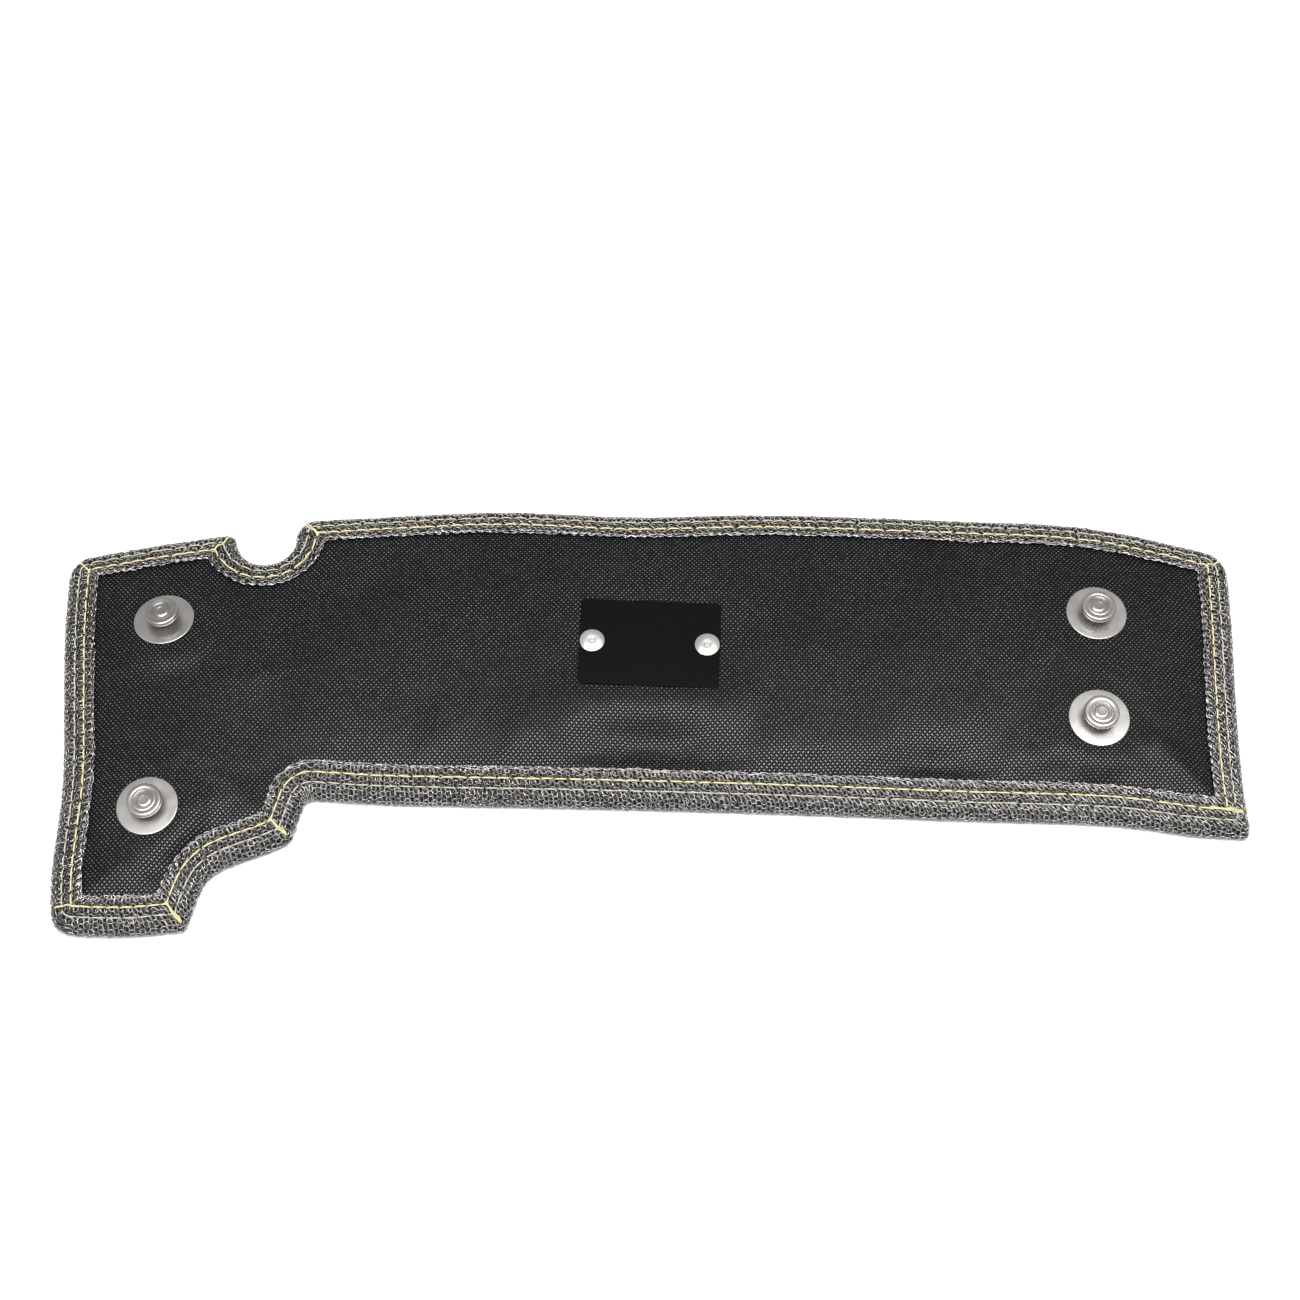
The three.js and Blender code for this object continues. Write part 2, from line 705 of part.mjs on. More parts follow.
function rivetShell() {
  const bore = MANDREL_RADIUS + DRILL_GAP;
  const head = PLATE_TOP + GAP;
  const tail = -CLOTH_THICK - GAP - BACKING_THICK - GAP;
  return turned([
    [bore, -RIVET_REACH],
    [RIVET_BODY, -RIVET_REACH],
    [RIVET_TAIL, -RIVET_REACH + 1.2],
    [RIVET_TAIL, tail - 0.8],
    [RIVET_BODY, tail],
    [RIVET_BODY, head],
    [RIVET_HEAD, head],
    [RIVET_HEAD, head + 0.4],
    [RIVET_HEAD * 0.82, head + RIVET_HEAD_RISE * 0.66],
    [RIVET_HEAD * 0.5, head + RIVET_HEAD_RISE],
    [bore, head + RIVET_HEAD_RISE],
    [bore, -RIVET_REACH],
  ], ROUND_SMALL);
}

function rivetMandrel() {
  const foot = -RIVET_REACH - GAP;
  return turned([
    [0, foot - 2],
    [MANDREL_RADIUS + 0.5, foot - 2],
    [MANDREL_RADIUS + 0.9, foot],
    [MANDREL_RADIUS, foot],
    [MANDREL_RADIUS, PLATE_TOP + GAP + RIVET_HEAD_RISE - 0.5],
    [0, PLATE_TOP + GAP + RIVET_HEAD_RISE - 0.5],
  ], ROUND_SMALL);
}

function backingWasher() {
  const hole = RIVET_BODY + DRILL_GAP;
  const top = -CLOTH_THICK - GAP;
  return turned([
    [hole, top - BACKING_THICK],
    [BACKING_RADIUS, top - BACKING_THICK],
    [BACKING_RADIUS, top],
    [hole, top],
    [hole, top - BACKING_THICK],
  ], ROUND_SMALL);
}

function plateBlank() {
  const [w, h, r] = [PLATE_LENGTH / 2, PLATE_WIDTH / 2, PLATE_CORNER];
  const shape = new THREE.Shape();
  shape.moveTo(-w + r, -h);
  shape.lineTo(w - r, -h);
  shape.absarc(w - r, -h + r, r, -Math.PI / 2, 0);
  shape.lineTo(w, h - r);
  shape.absarc(w - r, h - r, r, 0, Math.PI / 2);
  shape.lineTo(-w + r, h);
  shape.absarc(-w + r, h - r, r, Math.PI / 2, Math.PI);
  shape.lineTo(-w, -h + r);
  shape.absarc(-w + r, -h + r, r, Math.PI, Math.PI * 1.5);
  for (const side of [-1, 1]) {
    const hole = new THREE.Path();
    hole.absarc((side * RIVET_SPAN) / 2, 0, RIVET_BODY + DRILL_GAP, 0, 2 * Math.PI, true);
    shape.holes.push(hole);
  }
  const sheet = { depth: PLATE_THICK, bevelEnabled: false, curveSegments: 4 };
  const geometry = new THREE.ExtrudeGeometry(shape, sheet);
  geometry.translate(0, 0, GAP);
  return finish(geometry);
}

// Drilling

const kernel = await Module();
kernel.setup();

function toSolid(geometry) {
  return new kernel.Manifold(
    new kernel.Mesh({
      numProp: 3,
      vertProperties: new Float32Array(geometry.attributes.position.array),
      triVerts: new Uint32Array(geometry.index.array),
    }),
  );
}

function fromSolid(solid) {
  const mesh = solid.getMesh();
  const geometry = new THREE.BufferGeometry();
  geometry.setAttribute("position", new THREE.Float32BufferAttribute(mesh.vertProperties, 3));
  geometry.setIndex(Array.from(mesh.triVerts));
  return finish(geometry);
}

function drill(geometry, tools) {
  const solid = tools.reduce((left, tool) => left.subtract(toSolid(tool)), toSolid(geometry));
  return fromSolid(solid);
}

// A straight rod on an axis through a place, square to a normal, from one height on it to another
function rod(place, radius, from, to) {
  const geometry = turned([
    [0, from],
    [radius, from],
    [radius, to],
    [0, to],
  ], ROUND_SMALL);
  return geometry.applyMatrix4(place);
}

function anchorPlace(anchor) {
  const turn = new THREE.Quaternion().setFromUnitVectors(new THREE.Vector3(0, 0, 1), anchor.normal);
  const at = new THREE.Vector3(anchor.at[0] - CENTRE[0], anchor.at[1] - CENTRE[1], anchor.height);
  return new THREE.Matrix4().compose(at, turn, new THREE.Vector3(1, 1, 1));
}

function platePlace(along = 0) {
  const turn = new THREE.Quaternion().setFromAxisAngle(new THREE.Vector3(0, 0, 1), PLATE_TURN);
  const [x, y] = platePoint(along, 0);
  const at = new THREE.Vector3(x - CENTRE[0], y - CENTRE[1], PLATE_HEIGHT);
  return new THREE.Matrix4().compose(at, turn, new THREE.Vector3(1, 1, 1));
}

const pinHoles = ANCHORS.map((anchor) => rod(anchorPlace(anchor), PIN_RADIUS + DRILL_GAP, -40, 5));
const rivetSides = [-1, 1].map((side) => (side * RIVET_SPAN) / 2);
const rivetBores = (radius, foot) => rivetSides.map((along) => rod(platePlace(along), radius, foot, 5));
const rivetHoles = rivetBores(RIVET_BODY + DRILL_GAP, -CLOTH_THICK - 1);
const rivetPockets = rivetBores(BACKING_RADIUS + 1, -RIVET_REACH - 4);

// Assembly

const WIRE = new THREE.MeshStandardMaterial({ color: 0x8e8b86, roughness: 0.45, metalness: 0.85 });
const CLOTH = new THREE.MeshStandardMaterial({ color: 0x26272a, roughness: 0.6, metalness: 0.05 });
const MAT = new THREE.MeshStandardMaterial({ color: 0xe6dfcc, roughness: 1, metalness: 0 });
const LINER = new THREE.MeshStandardMaterial({ color: 0xc9bf9f, roughness: 0.9, metalness: 0 });
const MAIN_THREAD = new THREE.MeshStandardMaterial({ color: 0xe0d58a, roughness: 0.8, metalness: 0 });
const SECOND_THREAD = new THREE.MeshStandardMaterial({ color: 0xbfb18c, roughness: 0.85, metalness: 0 });
const STEEL = new THREE.MeshStandardMaterial({ color: 0xa9aaa6, roughness: 0.3, metalness: 1 });
const PLATE_BLACK = new THREE.MeshStandardMaterial({ color: 0x0c0c0c, roughness: 0.35, metalness: 0.3 });
const RIVET_METAL = new THREE.MeshStandardMaterial({ color: 0xc4c5c2, roughness: 0.35, metalness: 1 });

const blanket = new THREE.Group();
blanket.name = "turbo_heat_blanket";

function add(name, geometry, material, place) {
  const mesh = new THREE.Mesh(geometry, material.clone());
  mesh.name = name;
  if (place) mesh.applyMatrix4(place);
  blanket.add(mesh);
  return mesh;
}

add("knitted_cover", drill(coverSkin(), pinHoles), WIRE);
add("liner_cloth", drill(linerSkin(), pinHoles), LINER);
add("insulation_mat", drill(matSkin(), [...pinHoles, ...rivetPockets]), MAT);
add("outer_cloth", drill(clothSkin(), [...pinHoles, ...rivetHoles]), CLOTH);

EDGES.forEach((edge, i) => {
  add("main_seam_" + edge.name, seamThread(i, MAIN_ROW), MAIN_THREAD);
  add("second_seam_" + edge.name, seamThread(i, SECOND_ROW), SECOND_THREAD);
});

const TACKED = ["lobe_top", "notch", "top", "right", "step", "cove", "lobe_bottom", "left"];
EDGES.forEach((edge, i) => {
  if (TACKED.includes(edge.name)) add("corner_tack_after_" + edge.name, cornerTack(i), MAIN_THREAD);
});

for (const anchor of ANCHORS) {
  const place = anchorPlace(anchor);
  add("anchor_pin_" + anchor.name, anchorPin(anchor), STEEL, place);
  add("anchor_washer_" + anchor.name, anchorWasher(), STEEL, place);
  add("anchor_cap_" + anchor.name, anchorCap(), STEEL, place);
}

add("name_plate", plateBlank(), PLATE_BLACK, platePlace());
["left", "right"].forEach((side, i) => {
  const place = platePlace(rivetSides[i]);
  add("rivet_" + side, rivetShell(), RIVET_METAL, place);
  add("rivet_mandrel_" + side, rivetMandrel(), RIVET_METAL, place);
  add("backing_washer_" + side, backingWasher(), RIVET_METAL, place);
});

export default blanket;
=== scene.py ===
import math

import bpy
import numpy as np
from mathutils import Matrix, Vector


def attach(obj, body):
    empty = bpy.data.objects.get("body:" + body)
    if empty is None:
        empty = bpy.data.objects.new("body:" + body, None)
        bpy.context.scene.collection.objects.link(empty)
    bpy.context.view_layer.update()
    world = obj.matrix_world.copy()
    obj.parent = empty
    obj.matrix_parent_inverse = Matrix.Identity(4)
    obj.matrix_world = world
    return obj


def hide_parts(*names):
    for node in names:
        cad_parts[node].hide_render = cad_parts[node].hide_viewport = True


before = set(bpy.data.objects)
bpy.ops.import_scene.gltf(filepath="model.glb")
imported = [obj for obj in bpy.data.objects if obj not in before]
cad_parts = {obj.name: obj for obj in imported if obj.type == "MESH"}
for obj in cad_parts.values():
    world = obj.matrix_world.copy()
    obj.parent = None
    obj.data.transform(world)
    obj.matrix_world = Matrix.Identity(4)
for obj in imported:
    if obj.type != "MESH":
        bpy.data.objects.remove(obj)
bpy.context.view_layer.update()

# Turbo heat blanket. Shapes are worked out in millimetres and put into meshes in metres.
MM = 0.001

# Layers, and the quilt's height from the rolled edge to the crown
COVER_THICK = 1.0
SKIN_THICK = 0.7
FACE_THICK = 0.8
CLOTH_THICK = 0.9
GAP = 0.3
EDGE_HEIGHT = 8.5
CROWN_RISE = 16.0
RISE_LENGTH = 30.0

# Stitched border, measured inwards from the fold
BORDER = 16.3
MAIN_ROW = 11.6
SECOND_ROW = 6.8
ROW_DIP = 0.8
PUFF = 0.45
FRAY = 2.4
SOLE_FROM = 4.6
HOT_FACE_FROM = 17.5

# Knitted wire, stitches and corner tacks
LOOP_PITCH = 4.7
LOOP_POINTS = 11
COURSE_PITCH = 2.75
COURSE_GROUPS = 4
WIRE_RADIUS = 0.25
STITCH_PITCH = 7.4
THREAD_RADIUS = 0.45
SECOND_RADIUS = THREAD_RADIUS * 0.85
BOBBIN_RADIUS = 0.36
TACK_RADIUS = 0.44
TACK_SPREAD = 0.8

# Lacing anchors: where each stands on the plan, and its slope
WASHER_RADIUS = 16.0
WASHER_THICK = 1.0
CAP_RADIUS = 9.2
CAP_THICK = 2.9
CAP_TOP = 8.0
NECK_RADIUS = 4.75
CAP_RECESS = 3.6
BASE_RADIUS = 12.5
BASE_THICK = 0.8
BASE_LIFT = 0.3
PIN_RADIUS = 1.7
SEAT_RADIUS = WASHER_RADIUS + 1.5
ANCHORS = {
    "upper_left": ((-255.5, 48.6), (-0.07, 0.15)),
    "lower_left": ((-255.5, -58.9), (-0.08, -0.03)),
    "upper_right": ((236.0, 52.2), (0.035, 0.04)),
    "lower_right": ((233.0, -9.1), (0.04, -0.035)),
}

# Name plate
PLATE_SIZE = (74.0, 50.0, 0.8)
PLATE_CORNER = 3.0
PLATE_AT = (0.4, 33.7)
PLATE_TURN = math.radians(-2.4)
RIVET_SPAN = 60.4

# Broad swells and hollows of the cloth: place, half-lengths, height
BILLOWS = [
    (3, -20, 36, 15, -1.9),
    (151, -33, 24, 17, -2.0),
    (-58, -12, 22, 16, 1.3),
    (92, -22, 42, 14, 1.2),
    (-140, 20, 60, 34, -1.2),
    (205, -28, 26, 12, 1.1),
    (-205, 12, 26, 40, -1.6),
]

# Dents where the cloth lies slack against the stitching, given in the same way
DENTS = [(4, -28, 34, 15, -3.4), (151, -40, 22, 14, -3.2), (-205, -20, 18, 26, -1.6)]

# How finely lines and surfaces are stepped
CURVE_STEPS = 160
ARC_STEPS = 400
STATION_STEP = 2.6
ROW_STEP = 0.85
CORNER_STEPS = 7
CLOTH_CELL = 3.0
LAYER_CELL = 6.0
ROUND_STEPS = 96
SHARP_ANGLE = math.radians(34)

# Plan outline: nine edges, clockwise from the top left


def bowed(points):
    """A dense line through the points along a centripetal curve."""
    p = [np.array(q, float) for q in points]
    p = [2 * p[0] - p[1]] + p + [2 * p[-1] - p[-2]]
    line = []
    for a, b, c, e in zip(p, p[1:], p[2:], p[3:]):
        t = np.cumsum([0.0] + [np.linalg.norm(v - u) ** 0.5 for u, v in ((a, b), (b, c), (c, e))])
        m1 = ((b - a) / t[1] - (c - a) / t[2] + (c - b) / (t[2] - t[1])) * (t[2] - t[1])
        m2 = ((c - b) / (t[2] - t[1]) - (e - b) / (t[3] - t[1]) + (e - c) / (t[3] - t[2])) * (t[2] - t[1])
        for x in np.linspace(0, 1, CURVE_STEPS, endpoint=False):
            line.append(
                (2 * x**3 - 3 * x**2 + 1) * b
                + (x**3 - 2 * x**2 + x) * m1
                + (3 * x**2 - 2 * x**3) * c
                + (x**3 - x**2) * m2
            )
    return np.array(line + [p[-2]])


def arc(centre, radius, start, end):
    a = np.radians(np.linspace(start, end, ARC_STEPS))
    return np.stack([centre[0] + radius * np.cos(a), centre[1] + radius * np.sin(a)], 1)


class Edge:
    """One edge of the outline: its line, and the rounding of the corner at its end."""

    def __init__(self, line, corner, concave=False):
        self.line, self.corner, self.concave = line, corner, concave
        steps = np.linalg.norm(np.diff(line, axis=0), axis=1)
        self.along = np.concatenate([[0], np.cumsum(steps)])
        self.length = self.along[-1]
        t = np.gradient(line, axis=0)
        self.tangent = t / np.linalg.norm(t, axis=1)[:, None]

    def at(self, u, d):
        """Points at lengths u along the edge, moved inwards by d. The edge runs on straight past its ends."""
        u = np.asarray(u, float)
        inside = np.clip(u, 0, self.length)
        p = np.stack([np.interp(inside, self.along, self.line[:, k]) for k in (0, 1)], -1)
        t = np.stack([np.interp(inside, self.along, self.tangent[:, k]) for k in (0, 1)], -1)
        inward = np.stack([t[..., 1], -t[..., 0]], -1)
        return p + t * (u - inside)[..., None] + inward * d


LT, NL, NR = (-311, 92), (-223.4, 108.6), (-190, 116.4)
RT, RF, ST = (310.6, 94.4), (308, -70), (-177, -47.4)
SF, CF, LF = (-183.6, -71.6), (-233.6, -120.6), (-300.5, -122.4)
EDGES = [
    Edge(bowed([LT, (-268, 101), NL]), 3),
    Edge(arc((-207, 106.4), 16.9, 176, 360), 9),
    Edge(bowed([NR, (-150, 119), (-80, 122.4), (-8, 119.4), (60, 120.7), (160, 117.2), (240, 112), RT]), 15),
    Edge(bowed([RT, (309.8, 55), (307.4, 0), (306.6, -40), RF]), 3),
    Edge(
        bowed([RF, (280, -67.8), (240, -62.2), (160, -59.1), (60, -55), (-40, -52.1), (-140, -49.9), ST]),
        5,
        concave=True,
    ),
    Edge(bowed([ST, (-180.2, -58.6), SF]), 4),
    Edge(bowed([SF, (-195, -77.4), (-208.4, -82.6), (-218, -87), (-225, -93.4), (-228.9, -102.6), CF]), 3),
    Edge(bowed([CF, (-262, -123.2), LF]), 12),
    Edge(bowed([LF, (-303.2, -95), (-302.6, -40), (-306.8, 10), (-310, 50), LT]), 13),
]
EDGE_NAMES = ["lobe_top", "notch", "top", "right", "bottom", "step", "cove", "lobe_bottom", "left"]
STATIONS = [max(6, round(edge.length / STATION_STEP)) for edge in EDGES]


def crossing(a, b, d):
    """Where edges a and b cross when both are moved inwards by d: the length along each, and the point."""
    x = np.array([a.length, 0.0])
    h = 0.01
    for _ in range(14):
        p, q = a.at(x[0], d), b.at(x[1], d)
        j = np.stack([(a.at(x[0] + h, d) - p) / h, (q - b.at(x[1] + h, d)) / h], 1)
        x = x + np.clip(np.linalg.solve(j, q - p), -15, 15)
    return x[0], x[1], a.at(x[0], d)


def corner_of(index, d):
    """The corner after an edge, d inside the outline: the lengths at its start and end, and its points."""
    a, b = EDGES[index], EDGES[(index + 1) % len(EDGES)]
    rounding = a.corner + d if a.concave else max(a.corner - d, 0.6)
    u, v, centre = crossing(a, b, -a.corner if a.concave else d + rounding)
    start, end = a.at(u, d) - centre, b.at(v, d) - centre
    first = math.atan2(start[1], start[0])
    turn = (math.atan2(end[1], end[0]) - first + math.pi) % (2 * math.pi) - math.pi
    angles = first + turn * np.arange(1, CORNER_STEPS) / CORNER_STEPS
    return u, v, centre + rounding * np.stack([np.cos(angles), np.sin(angles)], 1)


def ring(d):
    """The closed line d inside the outline."""
    corners = [corner_of(i, d) for i in range(len(EDGES))]
    parts = []
    for i, edge in enumerate(EDGES):
        parts.append(edge.at(np.linspace(corners[i - 1][1], corners[i][0], STATIONS[i] + 1), d))
        parts.append(corners[i][2])
    return np.concatenate(parts)


OUTLINE = ring(0)
CENTRE = (OUTLINE.min(0) + OUTLINE.max(0)) / 2
COUNT = len(OUTLINE)

# Heights


def smoothstep(x, a, b):
    t = np.clip((x - a) / (b - a), 0, 1)
    return t * t * (3 - 2 * t)


def cover_top(d):
    return EDGE_HEIGHT + CROWN_RISE * (1 - np.exp(-np.maximum(d, 0) / RISE_LENGTH))


def depth_inside(xy):
    """Distance inwards from the outline, negative outside it, for points on the plan."""
    a = OUTLINE
    b = np.roll(a, -1, 0)
    e = b - a
    best = np.full(len(xy), 1e9)
    odd = np.zeros(len(xy), bool)
    for k in range(COUNT):
        r = xy - a[k]
        t = np.clip((r @ e[k]) / (e[k] @ e[k]), 0, 1)
        best = np.minimum(best, np.hypot(r[:, 0] - t * e[k, 0], r[:, 1] - t * e[k, 1]))
        if a[k, 1] != b[k, 1]:
            crosses = (a[k, 1] > xy[:, 1]) != (b[k, 1] > xy[:, 1])
            odd ^= crosses & (xy[:, 0] < e[k, 0] * (xy[:, 1] - a[k, 1]) / e[k, 1] + a[k, 0])
    return np.where(odd, best, -best)


def free_cloth(xy, d=None):
    """Height of the cloth where no fitting holds it."""
    d = depth_inside(xy) if d is None else d
    swell = sum(
        h * np.exp(-(((xy[:, 0] - x) / rx) ** 2) - ((xy[:, 1] - y) / ry) ** 2) for x, y, rx, ry, h in BILLOWS
    )
    return cover_top(d) - COVER_THICK - GAP + swell * smoothstep(d, BORDER, BORDER + 14)


SEAT_HEIGHT = {name: float(free_cloth(np.array([at]))[0]) for name, (at, slope) in ANCHORS.items()}
PLATE_HEIGHT = float(free_cloth(np.array([PLATE_AT]))[0])


def outside_plate(xy):
    """Distance outside the name plate and its margin of 3 mm."""
    x, y = xy[:, 0] - PLATE_AT[0], xy[:, 1] - PLATE_AT[1]
    c, s = math.cos(PLATE_TURN), math.sin(PLATE_TURN)
    along = np.abs(x * c + y * s) - PLATE_SIZE[0] / 2 - 3
    across = np.abs(y * c - x * s) - PLATE_SIZE[1] / 2 - 3
    return np.hypot(np.maximum(along, 0), np.maximum(across, 0))


def cloth_height(xy, d):
    """Height of the cloth, flat under the plate and each washer."""
    z = free_cloth(xy, d)
    w = 1 - smoothstep(outside_plate(xy), 0, 26)
    z = z + (PLATE_HEIGHT - z) * w
    for name, (at, slope) in ANCHORS.items():
        x, y = xy[:, 0] - at[0], xy[:, 1] - at[1]
        w = 1 - smoothstep(np.hypot(x, y), SEAT_RADIUS, SEAT_RADIUS + 18)
        z = z + (SEAT_HEIGHT[name] - slope[0] * x - slope[1] * y - z) * w
    return z


# Section of the knitted cover, from its raw edge over the cloth, round the fold, to the hot face

BETWEEN_ROWS = (MAIN_ROW + SECOND_ROW) / 2
LIP = (MAIN_ROW + BORDER) / 2
SECTION = bowed(
    [
        (BORDER + FRAY, cover_top(BORDER + FRAY) - 1.05),
        (BORDER, cover_top(BORDER) - 0.1),
        (LIP, cover_top(LIP) + PUFF),
        (MAIN_ROW, cover_top(MAIN_ROW) - ROW_DIP),
        (BETWEEN_ROWS, cover_top(BETWEEN_ROWS) + PUFF),
        (SECOND_ROW, cover_top(SECOND_ROW) - ROW_DIP),
        (3.4, cover_top(3.4) + PUFF),
        (0.9, EDGE_HEIGHT * 0.88),
        (0, EDGE_HEIGHT * 0.48),
        (1.6, 0.9),
        (SOLE_FROM, 0.0),
        (SECOND_ROW, 0.75),
        (BETWEEN_ROWS, 0.0),
        (MAIN_ROW, 0.75),
        (LIP, 0.0),
        (BORDER, 0.0),
        (22.0, 0.0),
    ]
)
SECTION[:, 1] = np.maximum(SECTION[:, 1], 0)
SECTION_LENGTH = np.concatenate([[0], np.cumsum(np.linalg.norm(np.diff(SECTION, axis=0), axis=1))])
FOLD = int(np.argmin(SECTION[:, 0]))


def section_at(d, top=True):
    """Length along the section at which it is d inside the fold, on its top or on its sole."""
    if top:
        return float(np.interp(-d, -SECTION[:FOLD, 0], SECTION_LENGTH[:FOLD]))
    return float(np.interp(d, SECTION[FOLD:, 0], SECTION_LENGTH[FOLD:]))


RAW_EDGE = section_at(BORDER)
SOLE = section_at(SOLE_FROM, False)
ROWS = np.concatenate(
    [[0, RAW_EDGE / 2], np.arange(RAW_EDGE, SOLE, ROW_STEP), np.linspace(SOLE, SECTION_LENGTH[-1], 14)]
)
ROW_D = np.interp(ROWS, SECTION_LENGTH, SECTION[:, 0])
ROW_Z = np.interp(ROWS, SECTION_LENGTH, SECTION[:, 1])


def waves(count, low, high, seed):
    """A smooth random value at every station of the closed outline, from -1 to 1."""
    r = np.random.default_rng(seed)
    t = np.arange(COUNT) / COUNT * 2 * np.pi
    total = sum(r.normal() * np.sin(k * t + r.uniform(0, 6.3)) for k in r.integers(low, high, count))
    return total / np.abs(total).max()


# Points and normals of the cover's outside: stations round the outline by rows along the section, with
# small lumps where the knit bunches up
GRID = np.zeros((COUNT, len(ROWS), 3))
for k, (d, z) in enumerate(zip(ROW_D, ROW_Z)):
    GRID[:, k, :2] = ring(d) - CENTRE
    GRID[:, k, 2] = z
lumps = waves(40, 40, 150, 3)[:, None] * np.sin(np.linspace(0, 9, len(ROWS)))[None] * 0.28
lumps += waves(40, 30, 110, 4)[:, None] * np.cos(np.linspace(0, 7, len(ROWS)))[None] * 0.25
on_top = smoothstep(ROW_Z, 2.0, 7.0)
GRID[:, :, 2] += lumps * on_top
across = np.gradient(GRID, axis=1)
around = (np.roll(GRID, -1, 0) - np.roll(GRID, 1, 0)) / 2
NORMAL = np.cross(across, around)
NORMAL /= np.linalg.norm(NORMAL, axis=2)[:, :, None]
if NORMAL[:, 5, 2].mean() < 0:
    NORMAL = -NORMAL
middle = GRID[:, int(np.argmin(np.abs(ROWS - section_at(8.0))))]
AROUND = np.concatenate([[0], np.cumsum(np.linalg.norm(np.roll(middle, -1, 0) - middle, axis=1))])
PERIMETER = AROUND[-1]


def on_cover(length, section):
    """Points and normals on the cover, at lengths round its middle line and along its section."""
    length = np.mod(length, PERIMETER)
    q = np.interp(length, AROUND, np.arange(COUNT + 1))
    i = np.minimum(q.astype(int), COUNT - 1)
    f = (q - i)[..., None]
    k = np.interp(section, ROWS, np.arange(len(ROWS)))
    j = np.minimum(k.astype(int), len(ROWS) - 2)
    g = (k - j)[..., None]
    i1 = (i + 1) % COUNT

    def pick(a):
        return (a[i, j] * (1 - g) + a[i, j + 1] * g) * (1 - f) + (a[i1, j] * (1 - g) + a[i1, j + 1] * g) * f

    n = pick(NORMAL)
    return pick(GRID), n / np.linalg.norm(n, axis=-1)[..., None]


# Meshes


def active(obj):
    """Make the object the only one selected."""
    if bpy.context.object and bpy.context.object.mode != "OBJECT":
        bpy.ops.object.mode_set(mode="OBJECT")
    bpy.ops.object.select_all(action="DESELECT")
    obj.select_set(True)
    bpy.context.view_layer.objects.active = obj
    return obj


def added(name, data):
    obj = bpy.data.objects.new(name, data)
    bpy.context.scene.collection.objects.link(obj)
    return obj


def points_of(mesh, kind=float):
    """The mesh's points, in metres."""
    co = np.zeros(len(mesh.vertices) * 3, np.float32)
    mesh.vertices.foreach_get("co", co)
    return co.reshape(-1, 3).astype(kind)


def move_points(obj, points):
    obj.data.vertices.foreach_set("co", points.astype(np.float32).ravel())
    obj.data.update()


def from_arrays(name, verts, faces, uv=None):
    """A mesh from points in millimetres and arrays of faces, with a UV in millimetres for each point."""
    mesh = bpy.data.meshes.new(name)
    loops = np.concatenate([f.ravel() for f in faces]).astype(np.int32)
    sizes = np.concatenate([np.full(len(f), f.shape[1]) for f in faces]).astype(np.int32)
    mesh.vertices.add(len(verts))
    mesh.vertices.foreach_set("co", (np.asarray(verts, np.float32) * MM).ravel())
    mesh.loops.add(len(loops))
    mesh.loops.foreach_set("vertex_index", loops)
    mesh.polygons.add(len(sizes))
    mesh.polygons.foreach_set("loop_start", np.concatenate([[0], np.cumsum(sizes)[:-1]]).astype(np.int32))
    mesh.polygons.foreach_set("loop_total", sizes)
    if uv is not None:
        layer = mesh.uv_layers.new(name="length")
        layer.data.foreach_set("uv", np.asarray(uv, np.float32)[loops].ravel())
    mesh.update(calc_edges=True)
    mesh.validate()
    mesh.polygons.foreach_set("use_smooth", np.ones(len(mesh.polygons), bool))
    return added(name, mesh)


def tubes(name, paths, normals, radius, sides=6, closed=False):
    """One mesh of tubes with the same count of points. Paths and normals are (tubes, points, 3)."""
    k, n = paths.shape[:2]
    if closed:
        tangent = np.roll(paths, -1, 1) - np.roll(paths, 1, 1)
    else:
        tangent = np.gradient(paths, axis=1)
    tangent /= np.linalg.norm(tangent, axis=2)[..., None]
    side = np.cross(tangent, normals)
    side /= np.linalg.norm(side, axis=2)[..., None]
    up = np.cross(side, tangent)
    angle = np.arange(sides) / sides * 2 * np.pi
    r = np.broadcast_to(np.asarray(radius, float), (k, n))[..., None, None]
    spoke = np.cos(angle)[:, None] * side[:, :, None] + np.sin(angle)[:, None] * up[:, :, None]
    verts = paths[:, :, None] + r * spoke
    index = np.arange(k * n * sides).reshape(k, n, sides)
    nxt = np.roll(index, -1, 1) if closed else index[:, 1:]
    cur = index if closed else index[:, :-1]
    faces = [np.stack([cur, np.roll(cur, -1, 2), np.roll(nxt, -1, 2), nxt], -1).reshape(-1, 4)]
    if not closed:
        faces += [index[:, 0, ::-1].reshape(-1, sides), index[:, -1].reshape(-1, sides)]
    step = np.linalg.norm(np.diff(paths, axis=1, append=paths[:, -1:]), axis=2)
    run = np.concatenate([np.zeros((k, 1)), np.cumsum(step, 1)[:, :-1]], 1)
    uv = np.stack(np.broadcast_arrays(run[..., None], angle / (2 * np.pi)), -1)
    return from_arrays(name, verts.reshape(-1, 3), faces, uv.reshape(-1, 2))


def outward(obj):
    """Turn all the faces outwards."""
    active(obj)
    bpy.ops.object.mode_set(mode="EDIT")
    bpy.ops.mesh.select_all(action="SELECT")
    bpy.ops.mesh.normals_make_consistent(inside=False)
    bpy.ops.object.mode_set(mode="OBJECT")
    return obj


def finished(obj, finish, slot, *nodes):
    """Give a piece its material and body, and hide the solids that it stands for. The slot is not used."""
    obj.data.materials.clear()
    obj.data.materials.append(finish)
    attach(obj, "root")
    if nodes:
        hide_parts(*nodes)
    return obj


def apply_modifier(obj, name, kind, **settings):
    active(obj)
    modifier = obj.modifiers.new(name, kind)
    for key, value in settings.items():
        setattr(modifier, key, value)
    bpy.ops.object.modifier_apply(modifier=modifier.name)
    return obj


